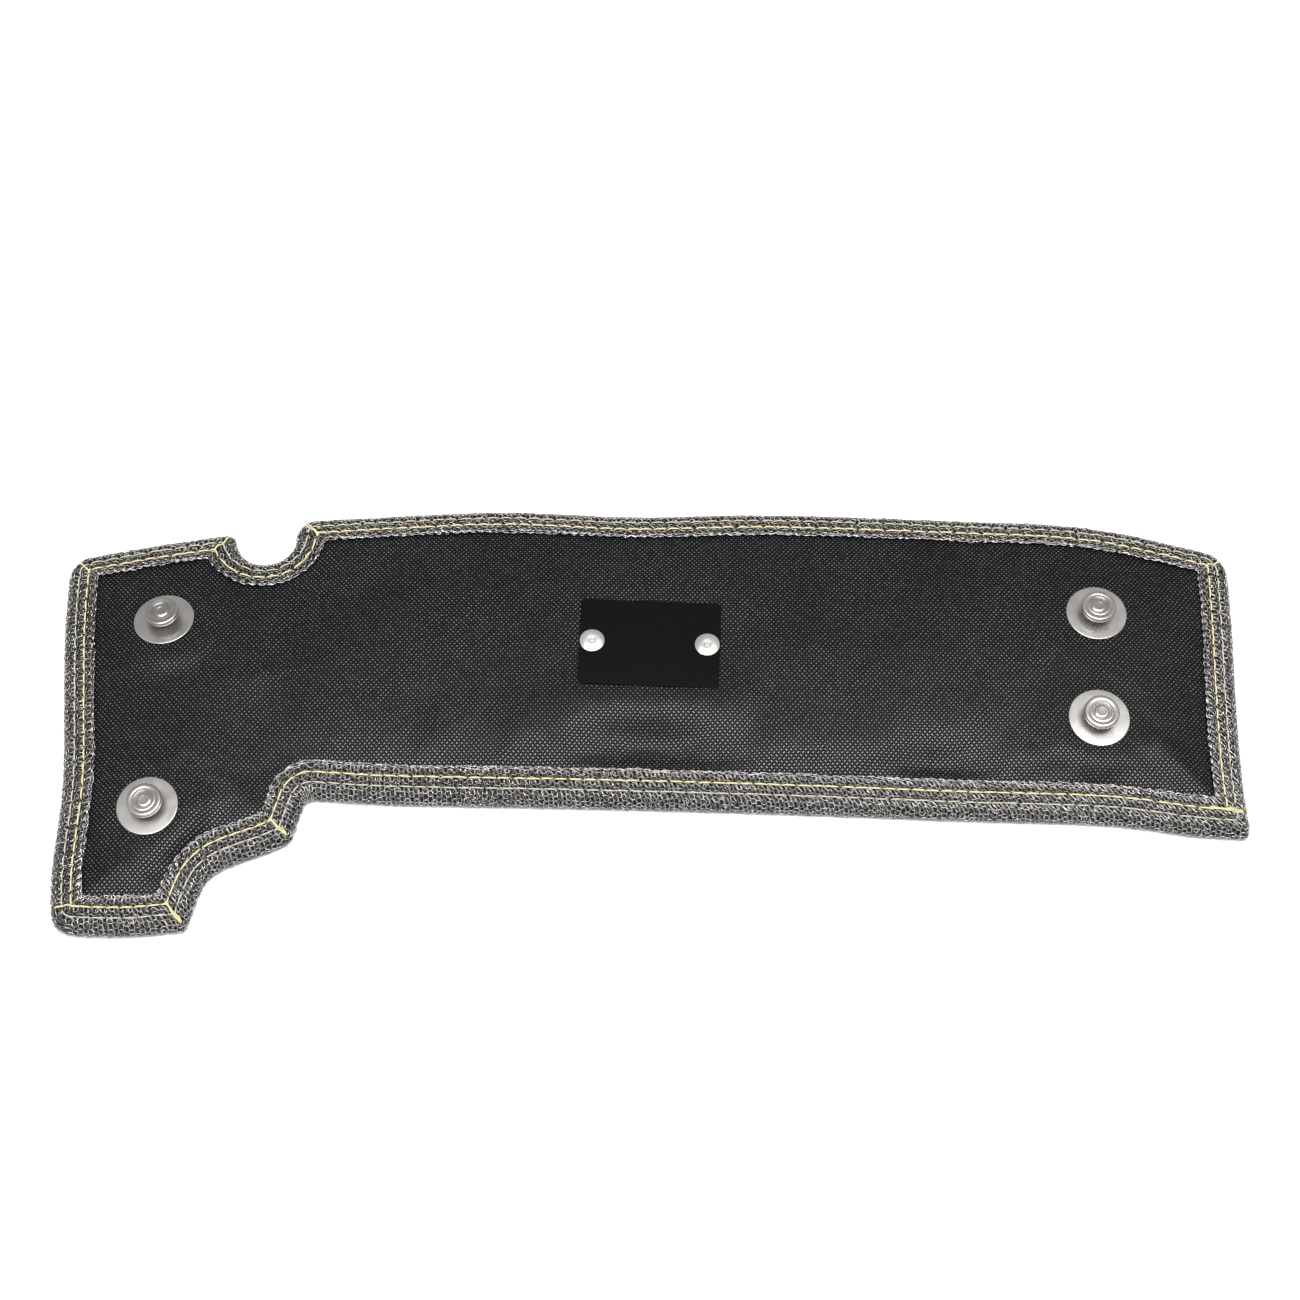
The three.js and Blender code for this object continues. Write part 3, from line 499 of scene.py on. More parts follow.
def turned(name, profile, steps, place):
    """A piece spun from its profile, which starts and ends on the axis or closes on itself.

    The profile's points are a radius and a height in millimetres.
    """
    mesh = bpy.data.meshes.new(name)
    points = [(r * MM, 0, z * MM) for r, z in profile]
    mesh.from_pydata(points, [(i, i + 1) for i in range(len(points) - 1)], [])
    obj = active(added(name, mesh))
    bpy.ops.object.mode_set(mode="EDIT")
    bpy.ops.mesh.select_all(action="SELECT")
    bpy.ops.mesh.spin(steps=steps, angle=2 * math.pi, center=(0, 0, 0), axis=(0, 0, 1))
    bpy.ops.mesh.select_all(action="SELECT")
    bpy.ops.mesh.remove_doubles(threshold=2e-6)
    bpy.ops.mesh.select_all(action="SELECT")
    bpy.ops.mesh.normals_make_consistent(inside=False)
    bpy.ops.object.mode_set(mode="OBJECT")
    bpy.ops.object.shade_smooth_by_angle(angle=SHARP_ANGLE)
    obj.data.transform(place)
    return obj


def bend(r, z, radius, start, end, steps):
    """A rounding of a profile, about a centre at radius r and height z."""
    a = np.radians(np.linspace(start, end, steps + 1))
    return [(r + radius * math.cos(t), z + radius * math.sin(t)) for t in a]


# Finishes


class Value:
    """A socket of a finish. Python's operators on it make the maths nodes."""

    def __init__(self, finish, socket):
        self.finish, self.socket = finish, socket

    def maths(self, operation, *others):
        return self.finish.node("ShaderNodeMath", [self, *others], operation=operation)

    def __add__(self, other):
        return self.maths("ADD", other)

    def __sub__(self, other):
        return self.maths("SUBTRACT", other)

    def __mul__(self, other):
        return self.maths("MULTIPLY", other)

    def __truediv__(self, other):
        return self.maths("DIVIDE", other)

    def __mod__(self, other):
        return self.maths("FLOORED_MODULO", other)

    def __pow__(self, other):
        return self.maths("POWER", other)

    def __rsub__(self, other):
        return self.finish.node("ShaderNodeMath", [other, self], operation="SUBTRACT")

    def __abs__(self):
        return self.maths("ABSOLUTE")

    __radd__ = __add__
    __rmul__ = __mul__

    def floor(self):
        return self.maths("FLOOR")

    def cos(self):
        return self.maths("COSINE")

    def sin(self):
        return self.maths("SINE")

    def least(self, other):
        return self.maths("MINIMUM", other)

    def most(self, other):
        return self.maths("MAXIMUM", other)

    def clamp(self):
        return self.most(0).least(1)

    def ramp(self, low, high):
        """0 below low and 1 above high, smooth between."""
        inputs = {"Value": self, "From Min": low, "From Max": high}
        return self.finish.node("ShaderNodeMapRange", inputs, interpolation_type="SMOOTHSTEP")


class Finish:
    """A material on the Principled shader. Keywords set the shader's own sockets."""

    def __init__(self, name, **constants):
        self.material = bpy.data.materials.new(name)
        self.material.use_nodes = True
        self.tree = self.material.node_tree
        self.shader = self.tree.nodes["Principled BSDF"]
        for key, value in constants.items():
            self.shader.inputs[key.replace("_", " ")].default_value = value

    def node(self, kind, inputs, out=0, **settings):
        """One of the outputs of a new node."""
        made = self.tree.nodes.new(kind)
        for key, value in settings.items():
            setattr(made, key, value)
        for key, value in inputs.items() if isinstance(inputs, dict) else enumerate(inputs):
            if isinstance(value, Value):
                self.tree.links.new(value.socket, made.inputs[key])
            else:
                made.inputs[key].default_value = value
        return Value(self, made.outputs[out])

    def place(self):
        """Object coordinates, in millimetres."""
        raw = self.node("ShaderNodeTexCoord", {}, out="Object")
        return self.node("ShaderNodeVectorMath", {0: raw, "Scale": 1 / MM}, operation="SCALE")

    def split(self, vector, count=3):
        """The vector's first values."""
        return [self.node("ShaderNodeSeparateXYZ", [vector], out=i) for i in range(count)]

    def length(self):
        """The two values of the UV map: lengths in millimetres, or a length and a share of a turn."""
        return self.split(self.node("ShaderNodeUVMap", {}, uv_map="length"), 2)

    def noise(self, vector, scale, detail=2.0, roughness=0.5):
        inputs = {"Vector": vector, "Scale": scale, "Detail": detail, "Roughness": roughness}
        return self.node("ShaderNodeTexNoise", inputs)

    def join(self, x, y, z=0.0):
        return self.node("ShaderNodeCombineXYZ", [x, y, z])

    def blend(self, share, a, b):
        return self.node("ShaderNodeMix", {0: share, 6: a, 7: b}, out=2, data_type="RGBA")

    def bump(self, height, distance_mm, strength=1.0):
        inputs = {"Height": height, "Distance": distance_mm * MM, "Strength": strength}
        self.set("Normal", self.node("ShaderNodeBump", inputs))

    def set(self, name, value):
        self.tree.links.new(value.socket, self.shader.inputs[name])


WEAVE_CELL = (1.26, 1.46)


def grey(v, warm=0.0):
    return (v * (1 + warm), v, v * (1 - warm), 1)


def cloth_finish():
    """Black weave: staggered slanted floats over a finer thread, with a painted highlight on each float's
    crown, its strength set by chance.
    """
    f = Finish("black_woven_cloth", Specular_IOR_Level=0.08, Coat_Roughness=0.36)
    place = f.place()
    x, y = f.split(place, 2)
    wander = f.noise(place, 0.05, 3.0) - 0.5
    u = (x + wander * 2.4) / WEAVE_CELL[0]
    v = (y - wander * 2.2) / WEAVE_CELL[1]
    i, j = u.floor(), v.floor()
    float_over = 1 - ((i + j) % 2)
    fu, fv = u - i - 0.5, v - j - 0.5
    slant = fu + fv * (0.7 - (j % 2) * 1.4)
    oval = (1 - (slant * slant * 5.0 + fv * fv * 4.4)).most(0)
    thread = (1 - (fu * 2) ** 2) * 0.35
    height = thread.most(oval * (0.5 + 0.5 * float_over))
    crown = height.ramp(0.34, 0.8)
    # Painted highlight: the crowns' bright colour stands in for glints on the yarn, varied by chance and in
    # broad patches
    chance = f.node("ShaderNodeTexWhiteNoise", {"Vector": f.join(i, j)})
    glint_patch = f.noise(place, 0.018, 2.0).ramp(0.3, 0.7)
    painted_glint = (crown * (0.28 + 0.72 * chance) * (0.6 + 0.4 * glint_patch)).clamp()
    f.set("Base Color", f.blend(painted_glint, (0.0022, 0.0023, 0.0026, 1), (0.13, 0.132, 0.137, 1)))
    f.set("Roughness", 0.56 - 0.14 * crown)
    f.set("Coat Weight", crown)
    f.bump(height, 0.2, 0.5)
    return f.material


def knit_pattern(u, v):
    """Height of a knitted wire skin from its two lengths, 1 on a wire's crown and 0 in a gap."""
    wire = None
    for shift in (-1, 0, 1):
        course = (v / COURSE_PITCH + 0.5).floor() + shift
        phase = u * (2 * math.pi / LOOP_PITCH) + (course % 2) * math.pi
        away = abs(v - course * COURSE_PITCH - phase.cos() * 1.7) / (1 + 1.5 * abs(phase.sin()))
        line = 1 - (away / 0.42).least(1) ** 2
        wire = line if wire is None else wire.most(line)
    return wire


def knit_finish(name, flat):
    """The knitted skin under the modelled loops, and the hot face where no loops are modelled. The colour is
    dark between the wires, which is painted shade in the gaps. The skin under the loops is near black and not
    metallic all over, which is painted shade beneath the loops.
    """
    f = Finish(name, Metallic=0.85 if flat else 0.0, Specular_IOR_Level=0.2)
    place = f.place()
    u, v = f.split(place, 2) if flat else f.length()
    wander = f.noise(place, 0.12, 2.0) - 0.5
    wire = knit_pattern(u + wander * 1.6, v + wander * 1.3)
    # Painted shade: the dark gap colour, and the near-black range of the skin under the loops
    low, high = (0.02, 0.34) if flat else (0.003, 0.07)
    tone = f.noise(place, 0.3, 2.0).ramp(0.3, 0.7)
    f.set("Base Color", f.blend(wire * (0.7 + 0.3 * tone), grey(low), grey(high, 0.03)))
    f.set("Roughness", 0.6 - 0.22 * wire)
    f.bump(wire, 0.45, 0.9)
    return f.material


def wire_finish():
    f = Finish("stainless_wire", Metallic=1.0)
    place = f.place()
    tone = f.noise(place, 0.5, 2.0).ramp(0.3, 0.7)
    drift = f.noise(place, 0.03, 2.0).ramp(0.35, 0.65)
    f.set("Base Color", f.blend(tone, (0.15, 0.146, 0.14, 1), (0.6, 0.59, 0.572, 1)))
    f.set("Roughness", 0.26 + 0.16 * drift)
    return f.material


def thread_finish(name, dark, light):
    """Twisted thread, with its plies along the UV map's length."""
    f = Finish(name, Roughness=0.7, Specular_IOR_Level=0.3)
    place = f.place()
    run, turn = f.length()
    ply = ((run * 2.6 + turn * 2) * (2 * math.pi)).sin() * 0.5 + 0.5
    fuzz = f.noise(place, 2.5, 2.0)
    f.set("Base Color", f.blend((ply * 0.65 + fuzz * 0.4).clamp(), dark, light))
    f.bump(ply + fuzz * 0.3, 0.16, 0.8)
    return f.material


def steel_finish(name, tone, rough, grain_mm=0.004):
    f = Finish(name, Metallic=1.0)
    place = f.place()
    smear = f.noise(place, 0.09, 3.0, 0.6).ramp(0.3, 0.75)
    grain = f.noise(place, 2.2, 3.0, 0.7)
    f.set("Base Color", f.blend(smear, grey(tone * 0.88, 0.05), grey(tone, 0.03)))
    f.set("Roughness", rough + 0.05 * smear + 0.06 * grain)
    f.bump(grain, grain_mm, 0.3)
    return f.material


def plate_finish():
    f = Finish("black_anodised_plate", Specular_IOR_Level=0.03)
    x, y, z = f.split(f.place())
    streak = f.noise(f.join(x * 0.05, y * 2.5, z), 1.0, 2.0)
    f.set("Base Color", f.blend(streak, grey(0.0035), grey(0.0055)))
    f.set("Roughness", 0.26 + 0.12 * streak)
    return f.material


def fibre_finish(name, dark, light, scale):
    f = Finish(name, Roughness=0.95)
    fuzz = f.noise(f.place(), scale, 4.0, 0.6)
    f.set("Base Color", f.blend(fuzz, dark, light))
    f.bump(fuzz, 0.5, 0.6)
    return f.material


CLOTH = cloth_finish()
KNIT_SKIN_PAINTED_SHADE = knit_finish("knitted_border_under_painted_shade", False)
KNIT_FACE = knit_finish("knitted_hot_face", True)
WIRE = wire_finish()
MAIN_THREAD = thread_finish("yellow_thread", (0.52, 0.45, 0.19, 1), (0.86, 0.8, 0.45, 1))
SECOND_THREAD = thread_finish("beige_thread", (0.38, 0.35, 0.26, 1), (0.68, 0.64, 0.5, 1))
STEEL = steel_finish("satin_steel", 0.52, 0.3)
# The caps are the same stainless as the washers in a darker tone: painted shade for the darker reflections on
# them
CAP_STEEL_PAINTED_DARKER = steel_finish("cap_steel_painted_darker", 0.4, 0.28)
RIVET_METAL = steel_finish("rivet_metal", 0.8, 0.3, 0.012)
PLATE_BLACK = plate_finish()
MAT = fibre_finish("fibre_mat", (0.5, 0.45, 0.36, 1), (0.85, 0.82, 0.72, 1), 0.8)
LINER = fibre_finish("liner_cloth", (0.4, 0.36, 0.25, 1), (0.68, 0.64, 0.48, 1), 1.6)


# Outer cloth: a fine grid over the crown, settled with the stitching and the fittings holding it

GRID_SPAN = (624, 250)


def clipped_grid(name, spacing, least_depth):
    """A grid over the outline's box, cut off where it comes nearer than least_depth to the fold."""
    nx, ny = int(GRID_SPAN[0] / spacing), int(GRID_SPAN[1] / spacing)
    bpy.ops.mesh.primitive_grid_add(x_subdivisions=nx, y_subdivisions=ny, size=1)
    obj = active(bpy.context.object)
    obj.name = name
    obj.data.transform(Matrix.Diagonal((nx * spacing * MM, ny * spacing * MM, 1, 1)))
    xy = points_of(obj.data, np.float32)[:, :2] / MM + CENTRE
    depth = depth_inside(xy)
    bpy.ops.object.mode_set(mode="EDIT")
    bpy.ops.mesh.select_mode(type="VERT")
    bpy.ops.mesh.select_all(action="DESELECT")
    bpy.ops.object.mode_set(mode="OBJECT")
    obj.data.vertices.foreach_set("select", depth < least_depth)
    bpy.ops.object.mode_set(mode="EDIT")
    bpy.ops.mesh.delete(type="VERT")
    bpy.ops.object.mode_set(mode="OBJECT")
    return obj, depth[depth >= least_depth], xy[depth >= least_depth]


def settle(obj, held, frames=20):
    """Where a cloth simulation under slight inner pressure takes the sheet's points."""
    group = obj.vertex_groups.new(name="held")
    group.add([int(i) for i in np.nonzero(held)[0]], 1.0, "REPLACE")
    modifier = obj.modifiers.new("quilting", "CLOTH")
    s = modifier.settings
    s.quality = 5
    s.mass = 0.15
    s.tension_stiffness = s.compression_stiffness = 25
    s.shear_stiffness = 12
    s.bending_stiffness = 1.5
    s.shrink_min = s.shrink_max = -0.012
    s.use_pressure = True
    s.uniform_pressure_force = 1.5
    s.vertex_group_mass = "held"
    s.effector_weights.gravity = 0
    modifier.collision_settings.use_collision = False
    scene = bpy.context.scene
    modifier.point_cache.frame_start, modifier.point_cache.frame_end = 1, frames
    for number in range(1, frames + 1):
        scene.frame_set(number)
    shaped = obj.evaluated_get(bpy.context.evaluated_depsgraph_get()).to_mesh()
    points = points_of(shaped)
    obj.modifiers.remove(modifier)
    scene.frame_set(1)
    return points


def broad_part(lift, key):
    """The slow part of the lift over the grid, whose columns and rows are in key."""
    field = np.full(key.max(0) + 1, np.nan)
    field[key[:, 0], key[:, 1]] = lift
    known = ~np.isnan(field)
    value, weight = np.where(known, field, 0.0), known.astype(float)
    for _ in range(40):
        for axis in (0, 1):
            value = (np.roll(value, 1, axis) + 2 * value + np.roll(value, -1, axis)) / 4
            weight = (np.roll(weight, 1, axis) + 2 * weight + np.roll(weight, -1, axis)) / 4
    return (value / np.maximum(weight, 1e-6))[key[:, 0], key[:, 1]]


cloth, depth, plan = clipped_grid("woven_outer_cloth", CLOTH_CELL, 9.0)
height = cloth_height(plan, depth)
height = height - (1 - smoothstep(depth, BORDER - 2.6, BORDER + 0.6))
for x, y, rx, ry, rise in DENTS:
    lobe = np.exp(-(((plan[:, 0] - x) / rx) ** 2) - ((plan[:, 1] - y) / ry) ** 2)
    height = height + rise * lobe * smoothstep(depth, BORDER, BORDER + 7)
rest = points_of(cloth.data)
rest[:, 2] = height * MM
move_points(cloth, rest)
seats = np.zeros(len(plan), bool)
for name, (at, slope) in ANCHORS.items():
    seats |= np.hypot(*(plan - at).T) < SEAT_RADIUS + 1
seats |= outside_plate(plan) < 1
held = (depth < BORDER + 2) | seats
# Only the small ripples of the settled sheet are kept, and they fade out at whatever holds it
lift = (settle(cloth, held) - rest)[:, 2] / MM
key = np.round(points_of(cloth.data)[:, :2] / (CLOTH_CELL * MM)).astype(int)
key -= key.min(0)
ripple = np.clip(lift - broad_part(lift, key), -3, 3)
share = smoothstep(depth, BORDER + 1, BORDER + 8)
for name, (at, slope) in ANCHORS.items():
    share = share * smoothstep(np.hypot(*(plan - at).T), SEAT_RADIUS, SEAT_RADIUS + 8)
share = share * smoothstep(outside_plate(plan), 0, 8)
rest[:, 2] += 0.45 * np.tanh(ripple / 0.9) * share * MM
move_points(cloth, rest)
apply_modifier(cloth, "thickness", "SOLIDIFY", thickness=CLOTH_THICK * MM, offset=-1)
bpy.ops.object.shade_smooth()
finished(cloth, CLOTH, "outer_cloth", "outer_cloth")


# Knitted cover: the skin round the edge, the hot face, and the wire loops over the border

first = int(np.argmax(ROWS >= RAW_EDGE - 0.01))
rows = len(ROWS) - first
index = np.arange(COUNT * rows).reshape(COUNT, rows)
nxt = np.roll(index, -1, 0)
quads = np.stack([index[:, :-1], index[:, 1:], nxt[:, 1:], nxt[:, :-1]], -1).reshape(-1, 4)
skin_uv = np.stack(np.broadcast_arrays(AROUND[:-1, None], ROWS[None, first:]), -1)
skin = from_arrays("knitted_skin", GRID[:, first:].reshape(-1, 3), [quads], skin_uv.reshape(-1, 2))
outward(skin)
upward = skin.data.polygons[4].normal.z > 0
apply_modifier(skin, "thickness", "SOLIDIFY", thickness=SKIN_THICK * MM, offset=-1 if upward else 1)
# The skin's near-black finish is painted shade beneath the wire loops
finished(skin, KNIT_SKIN_PAINTED_SHADE, "knitted_wire", "knitted_cover")


def hot_height(xy):
    """Height of the hot face, which rises over the base disc of each anchor."""
    z = np.zeros(len(xy))
    for name, (at, slope) in ANCHORS.items():
        lean = math.hypot(*slope)
        upright = 1 / math.sqrt(1 + lean * lean)
        axis = np.array(at) - np.array(slope) * SEAT_HEIGHT[name]
        x, y = xy[:, 0] - axis[0], xy[:, 1] - axis[1]
        disc_top = BASE_LIFT + BASE_RADIUS * lean + (BASE_THICK + GAP) / upright
        roof = disc_top - slope[0] * x - slope[1] * y
        w = 1 - smoothstep(np.hypot(x, y), BASE_RADIUS + 2.5, BASE_RADIUS + 11.5)
        z = np.maximum(z, roof * w)
    return z


face, depth, plan = clipped_grid("knitted_hot_face", CLOTH_CELL, HOT_FACE_FROM)
rest = points_of(face.data)
rest[:, 2] = (hot_height(plan) + 0.08) * MM
move_points(face, rest)
apply_modifier(face, "thickness", "SOLIDIFY", thickness=FACE_THICK * MM, offset=1)
bpy.ops.object.shade_smooth()
finished(outward(face), KNIT_FACE, "knitted_wire")

LOOPS = round(PERIMETER / LOOP_PITCH)
LOOP_STEP = PERIMETER / LOOPS
LOOP_TURN = np.arange(LOOPS * LOOP_POINTS) / LOOP_POINTS * 2 * np.pi
LOOP_AT = LOOP_TURN / (2 * np.pi)
LAST_COURSE = section_at(1.0, False)
courses = np.arange(RAW_EDGE + 0.7, LAST_COURSE, COURSE_PITCH)


def loop_noise(seed, size):
    """A random value for each loop of a course, run from one to the next."""
    r = np.random.default_rng(seed)
    return np.interp(LOOP_AT, np.arange(LOOPS + 1), np.resize(r.normal(0, size, LOOPS), LOOPS + 1))


def course_line(number, section):
    """A course of knitted loops round the whole cover, at a length along its section, and its normals."""
    step = LOOP_STEP
    turn = LOOP_TURN + loop_noise(400 + number, 0.25)
    along = LOOP_AT * step + 0.17 * step * np.sin(2 * turn) + loop_noise(number, 0.42)
    reach = COURSE_PITCH * (0.9 + loop_noise(200 + number, 0.13))
    s = section + reach * np.cos(turn) + loop_noise(100 + number, 0.3)
    if number == 0:
        outer = np.where(np.cos(turn) < 0, 0.42, 1.0)
        s = section + outer * reach * np.cos(turn) - 0.35 * np.abs(loop_noise(500, 1.0))
    p, n = on_cover(along, np.clip(s, 0, LAST_COURSE + 1.5))
    rise = 0.3 + 0.3 * np.cos(2 * turn) + loop_noise(300 + number, 0.1)
    return p + n * rise[:, None], n


def edge_strand(seed, section):
    """A wire that has slipped out of its loops and runs along the raw edge."""
    s = section + 0.3 * np.cos(LOOP_TURN + loop_noise(seed, 0.8)) + loop_noise(seed + 1, 0.35)
    p, n = on_cover(LOOP_AT * LOOP_STEP, np.clip(s, 0, LAST_COURSE))
    return p + n * (0.55 + 0.2 * np.sin(LOOP_TURN) + loop_noise(seed + 2, 0.1))[:, None], n


for g, members in enumerate(np.array_split(np.arange(len(courses)), COURSE_GROUPS)):
    lines = [course_line(int(c), courses[c]) for c in members]
    if g == 0:
        lines += [edge_strand(600, RAW_EDGE - 0.35), edge_strand(610, RAW_EDGE + 0.5)]
    paths = np.stack([p for p, n in lines])
    paths[..., 2] = np.maximum(paths[..., 2], WIRE_RADIUS + 0.02)
    wires = tubes(f"wire_loops_{g + 1}", paths, np.stack([n for p, n in lines]), WIRE_RADIUS, 4, True)
    finished(wires, WIRE, "knitted_wire")


# Stitches


def stitch_row(name, section, finish, slot, radius, sink, nodes, seed, sole=False):
    """A row of separate stitches round the cover, sunk in its groove or lying on the sole."""
    r = np.random.default_rng(seed)
    total = round(PERIMETER / STITCH_PITCH)
    step = PERIMETER / total
    start = (np.arange(total) + r.normal(0, 0.05, total)) * step
    span = step * r.uniform(0.86, 0.95, total)
    x = np.linspace(0, 1, 9)
    skew = r.normal(0, 0.22, total)
    along = start[:, None] + span[:, None] * x
    s = section + skew[:, None] * (x - 0.5) * 2 + r.normal(0, 0.12, total)[:, None]
    p, n = on_cover(along, s)
    arch = np.sin(np.pi * x) ** 0.5
    if sole:
        paths = p.copy()
        paths[..., 2] = np.maximum(0.42, p[..., 2] - 0.3)
    else:
        rise = radius + sink + (0.95 * arch - 0.75) + r.normal(0, 0.05, total)[:, None]
        paths = p + n * rise[..., None]
    thick = radius * (0.62 + 0.38 * np.sin(np.pi * x) ** 0.6)
    made = tubes(name, paths, n, thick[None], 8)
    return finished(made, finish, slot, *nodes)


for label, d, finish, radius, sink, seed in (
    ("main", MAIN_ROW, MAIN_THREAD, THREAD_RADIUS, 0.8, 11),
    ("second", SECOND_ROW, SECOND_THREAD, SECOND_RADIUS, 1.05, 12),
):
    nodes = [f"{label}_seam_{edge_name}" for edge_name in EDGE_NAMES]
    stitch_row(f"{label}_stitches", section_at(d), finish, f"{label}_thread", radius, sink, nodes, seed)
for label, d, seed in (("main", MAIN_ROW, 13), ("second", SECOND_ROW, 14)):
    name, section = f"{label}_bobbin_stitches", section_at(d, False)
    stitch_row(name, section, SECOND_THREAD, "second_thread", BOBBIN_RADIUS, 0, [], seed, sole=True)


def border_height(plan):
    """Height of the cover's outside over points on the plan."""
    return np.interp(-depth_inside(plan), -SECTION[:FOLD, 0], SECTION[:FOLD, 1])


def lashing(edge_name, line, strands):
    """Heavy stitches over the border along a line on the plan."""
    r = np.random.default_rng(40 + len(edge_name))
    line = np.asarray(line, float)
    x = np.linspace(0, 1, 15)
    steps = np.concatenate([[0], np.cumsum(np.linalg.norm(np.diff(line, axis=0), axis=1))])
    plan = np.stack([np.interp(x * steps[-1], steps, line[:, k]) for k in (0, 1)], 1)
    run = np.gradient(plan, axis=0)
    side = np.stack([-run[:, 1], run[:, 0]], 1) / np.linalg.norm(run, axis=1)[:, None]
    paths = []
    for k in range(strands):
        off = (k - (strands - 1) / 2) * TACK_SPREAD + 0.3 * np.sin(x * 7 + 2 * k) + r.normal(0, 0.12)
        q = plan + side * off[:, None]
        ends = (x < 0.04) | (x > 0.96)
        rise = 0.85 + 0.3 * np.abs(np.sin(x * math.pi * 2 + k)) - 1.0 * ends
        paths.append(np.column_stack([q - CENTRE, border_height(q) + rise]))
    paths = np.stack(paths)
    upright = np.broadcast_to([0.0, 0.0, 1.0], paths.shape)
    made = tubes("corner_tack_" + edge_name, paths, upright, TACK_RADIUS, 8)
    finished(made, MAIN_THREAD, "main_thread", "corner_tack_after_" + edge_name)


# Each corner but the one between the bottom and the step has a tack, out over the fold or along the border
for i, edge_name in enumerate(EDGE_NAMES):
    if edge_name == "bottom":
        continue
    tip = crossing(EDGES[i], EDGES[(i + 1) % len(EDGES)], MAIN_ROW)[2]
    apex = corner_of(i, 2.2)[2][CORNER_STEPS // 2]
    if edge_name == "right":
        low = EDGES[4]
        u = crossing(EDGES[3], low, MAIN_ROW)[1]
        lashing(edge_name, low.at([u + 9, u, u - 9.2], MAIN_ROW), 2)
    elif edge_name == "lobe_bottom":
        low = EDGES[7]
        u = crossing(low, EDGES[8], MAIN_ROW)[0]
        lashing(edge_name, low.at([u - 7, u, u + 9.2], MAIN_ROW), 1)
    else:
        strands = 2 if edge_name in ("step", "cove", "notch") else 1
        lashing(edge_name, [tip * 1.1 - apex * 0.1, apex], strands)


# Lacing anchors

WASHER_FOOT = GAP * 0.4
for name, (at, slope) in ANCHORS.items():
    normal = Vector((slope[0], slope[1], 1)).normalized()
    turn = Vector((0, 0, 1)).rotation_difference(normal).to_matrix().to_4x4()
    seat = Vector(((at[0] - CENTRE[0]) * MM, (at[1] - CENTRE[1]) * MM, SEAT_HEIGHT[name] * MM))
    place = Matrix.Translation(seat) @ turn
    top = WASHER_FOOT + WASHER_THICK
    washer = turned(
        "washer_" + name,
        [(PIN_RADIUS + 0.3, WASHER_FOOT)]
        + bend(WASHER_RADIUS - 0.3, WASHER_FOOT + 0.3, 0.3, -90, 0, 3)
        + bend(WASHER_RADIUS - 0.45, top - 0.45, 0.45, 0, 90, 5)
        + [(9.0, top - 0.12), (PIN_RADIUS + 0.3, top - 0.16), (PIN_RADIUS + 0.3, WASHER_FOOT)],
        ROUND_STEPS,
        place,
    )
    finished(washer, STEEL, "stainless", "anchor_washer_" + name)
    face_at = top + CAP_TOP
    foot = face_at - CAP_THICK
    cap = turned(
        "cap_" + name,
        [(0, top + 0.05), (NECK_RADIUS + 0.5, top + 0.05)]
        + bend(NECK_RADIUS + 0.6, top + 0.7, 0.6, -90, -180, 4)
        + bend(NECK_RADIUS + 0.5, foot - 0.5, 0.5, 180, 90, 4)
        + bend(CAP_RADIUS - 0.6, foot + 0.6, 0.6, -90, 0, 5)
        + bend(CAP_RADIUS - 1.15, face_at - 1.15, 1.15, 0, 78, 8)
        + [(6.6, face_at + 0.02), (6.4, face_at - 0.1), (6.1, face_at - 0.1), (5.9, face_at + 0.02)]
        + [(5.3, face_at + 0.05)]
        + bend(5.2, face_at - 0.25, 0.3, 90, 180, 4)
        + [(4.7, face_at - 0.62), (CAP_RECESS + 0.5, face_at - 0.62), (CAP_RECESS, face_at - 0.2)]
        + [(2.9, face_at), (2.2, face_at - 0.05), (1.9, face_at - 0.3), (0, face_at - 0.34)],
        ROUND_STEPS,
        place,
    )
    finished(cap, CAP_STEEL_PAINTED_DARKER, "stainless", "anchor_cap_" + name)
    stand = SEAT_HEIGHT[name] * math.sqrt(1 + slope[0] ** 2 + slope[1] ** 2)
    lean = math.hypot(*slope)
    low = (BASE_LIFT + BASE_RADIUS * lean) * math.sqrt(1 + lean**2) - stand
    pin = turned(
        "pin_" + name,
        [(0, low + 0.1)]
        + [(BASE_RADIUS - 2.2, low), (BASE_RADIUS - 0.5, low)]
        + bend(BASE_RADIUS - 0.4, low + 0.4, 0.4, -90, 90, 8)
        + [(PIN_RADIUS + 0.4, low + 0.8), (PIN_RADIUS, low + 1.2), (PIN_RADIUS, top + 1), (0, top + 1)],
        72,
        place,
    )
    finished(pin, STEEL, "stainless", "anchor_pin_" + name)


# Name plate and rivets

bpy.ops.mesh.primitive_plane_add(size=1)
plate = active(bpy.context.object)
plate.name = "bare_name_plate"
plate.data.transform(Matrix.Diagonal((PLATE_SIZE[0] * MM, PLATE_SIZE[1] * MM, 1, 1)))
bpy.ops.object.mode_set(mode="EDIT")
bpy.ops.mesh.select_all(action="SELECT")
bpy.ops.mesh.bevel(offset=PLATE_CORNER * MM, segments=8, affect="VERTICES")
bpy.ops.mesh.select_all(action="SELECT")
bpy.ops.mesh.extrude_region_move(TRANSFORM_OT_translate={"value": (0, 0, PLATE_SIZE[2] * MM)})
bpy.ops.mesh.select_all(action="SELECT")
bpy.ops.mesh.normals_make_consistent(inside=False)
bpy.ops.object.mode_set(mode="OBJECT")
apply_modifier(
    plate, "soft_edge", "BEVEL", width=0.16 * MM, segments=3, limit_method="ANGLE", angle_limit=0.7
)
bpy.ops.object.shade_smooth_by_angle(angle=SHARP_ANGLE)


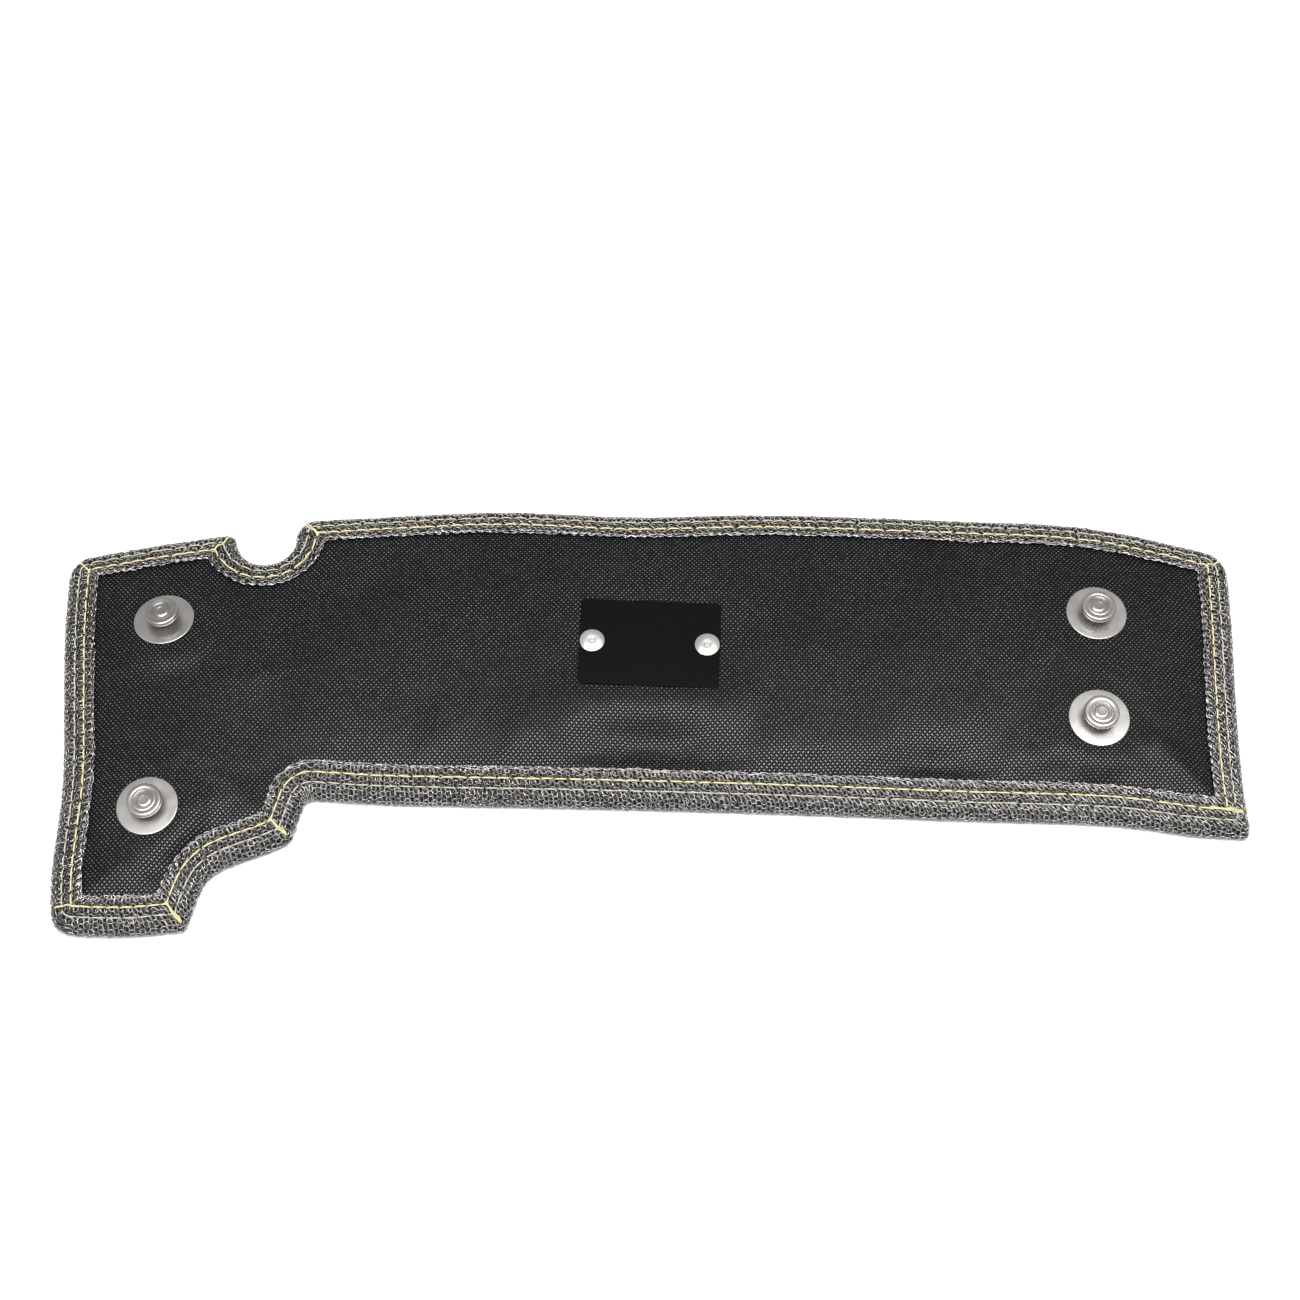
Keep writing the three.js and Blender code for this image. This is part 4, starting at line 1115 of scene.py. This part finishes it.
def on_plate(along, lift):
    """A place on the plate's middle line, lifted over the cloth and turned with the plate."""
    spot = Vector(
        (
            (PLATE_AT[0] + along * math.cos(PLATE_TURN) - CENTRE[0]) * MM,
            (PLATE_AT[1] + along * math.sin(PLATE_TURN) - CENTRE[1]) * MM,
            (PLATE_HEIGHT + lift) * MM,
        )
    )
    return Matrix.Translation(spot) @ Matrix.Rotation(PLATE_TURN, 4, "Z")


plate.data.transform(on_plate(0, GAP))
finished(plate, PLATE_BLACK, "plate_black", "name_plate")
for side, sign in (("left", -1), ("right", 1)):
    base = GAP + PLATE_SIZE[2] + 0.05
    rivet = turned(
        "rivet_head_" + side,
        [(0, -6), (2.4, -6), (2.4, base), (6.2, base)]
        + bend(6.2, base + 0.3, 0.3, -90, 20, 5)
        + [(5.6, base + 0.95), (4.6, base + 1.42), (3.4, base + 1.7), (2.4, base + 1.78)]
        + [(1.75, base + 1.7), (1.45, base + 1.3), (1.4, base + 0.9), (0.9, base + 0.95)]
        + [(0.55, base + 1.25), (0, base + 1.3)],
        64,
        on_plate(sign * RIVET_SPAN / 2, 0),
    )
    finished(rivet, RIVET_METAL, "rivet_metal", "rivet_" + side)

# Inner layers, hidden between the cloth and the hot face


def layer(name, least_depth, top_of, foot_of, finish, slot, node):
    """A layer between two heights, given as functions of its points on the plan."""
    sheet, depth, plan = clipped_grid(name, LAYER_CELL, least_depth)
    apply_modifier(sheet, "thickness", "SOLIDIFY", thickness=MM, offset=-1)
    rest = points_of(sheet.data)
    top, foot = top_of(plan, depth), foot_of(plan)
    rest[:, 2] = np.concatenate([top, np.minimum(foot, top - 0.5)]) * MM
    move_points(sheet, rest)
    finished(outward(sheet), finish, slot, node)


layer(
    "fibre_mat",
    10.0,
    lambda plan, depth: cloth_height(plan, depth) - 5.4,
    lambda plan: hot_height(plan) + 2.4,
    MAT,
    "insulation_mat",
    "insulation_mat",
)
layer(
    "inner_liner",
    7.0,
    lambda plan, depth: hot_height(plan) + 2.0,
    lambda plan: hot_height(plan) + 1.2,
    LINER,
    "liner_cloth",
    "liner_cloth",
)

# The solids that stay in view, the rivets' mandrels and backing washers, take the rivets' metal
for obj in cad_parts.values():
    if not obj.hide_render:
        obj.data.materials.clear()
        obj.data.materials.append(RIVET_METAL)

# Floor, light and camera

bpy.ops.mesh.primitive_plane_add(size=12)
floor = bpy.context.object
floor.name = "floor"
floor_finish = Finish("white_floor", Roughness=0.9, Specular_IOR_Level=0.1)
floor_finish.shader.inputs["Base Color"].default_value = (0.93, 0.93, 0.93, 1)
floor.data.materials.append(floor_finish.material)

world = bpy.data.worlds.new("soft_room")
bpy.context.scene.world = world
world.use_nodes = True
background = world.node_tree.nodes["Background"]
background.inputs["Color"].default_value = (1, 1, 1, 1)
background.inputs["Strength"].default_value = 0.5


def soft_light(name, place, target, size, power):
    data = bpy.data.lights.new(name, "AREA")
    data.shape = "RECTANGLE"
    data.size, data.size_y = size
    data.energy = power
    obj = added(name, data)
    obj.location = place
    obj.rotation_euler = (Vector(target) - Vector(place)).to_track_quat("-Z", "Y").to_euler()


soft_light("front_overhead", (0.05, -0.22, 1.7), (0, -0.03, 0), (2.0, 0.5), 52)
soft_light("low_front", (0.1, -2.2, 1.3), (0, 0, 0), (2.6, 1.2), 16)

# The camera looks down at the plan from the front. Its focal length is a share of the picture's width.
CAMERA_DOWN = math.radians(62)
CAMERA_FOCUS = Vector((0.000772, 0.042258, 0))
CAMERA_DISTANCE = 1.5
FOCAL_SHARE = 2817 / 1300
data = bpy.data.cameras.new("camera")
camera = added("camera", data)
data.sensor_width = 36
data.lens = data.sensor_width * FOCAL_SHARE
look = Vector((0, math.cos(CAMERA_DOWN), -math.sin(CAMERA_DOWN)))
camera.location = CAMERA_FOCUS - look * CAMERA_DISTANCE
camera.rotation_euler = (math.pi / 2 - CAMERA_DOWN, 0, 0)
data.clip_start, data.clip_end = 0.05, 30
bpy.context.scene.camera = camera
bpy.context.scene.view_settings.view_transform = "Standard"
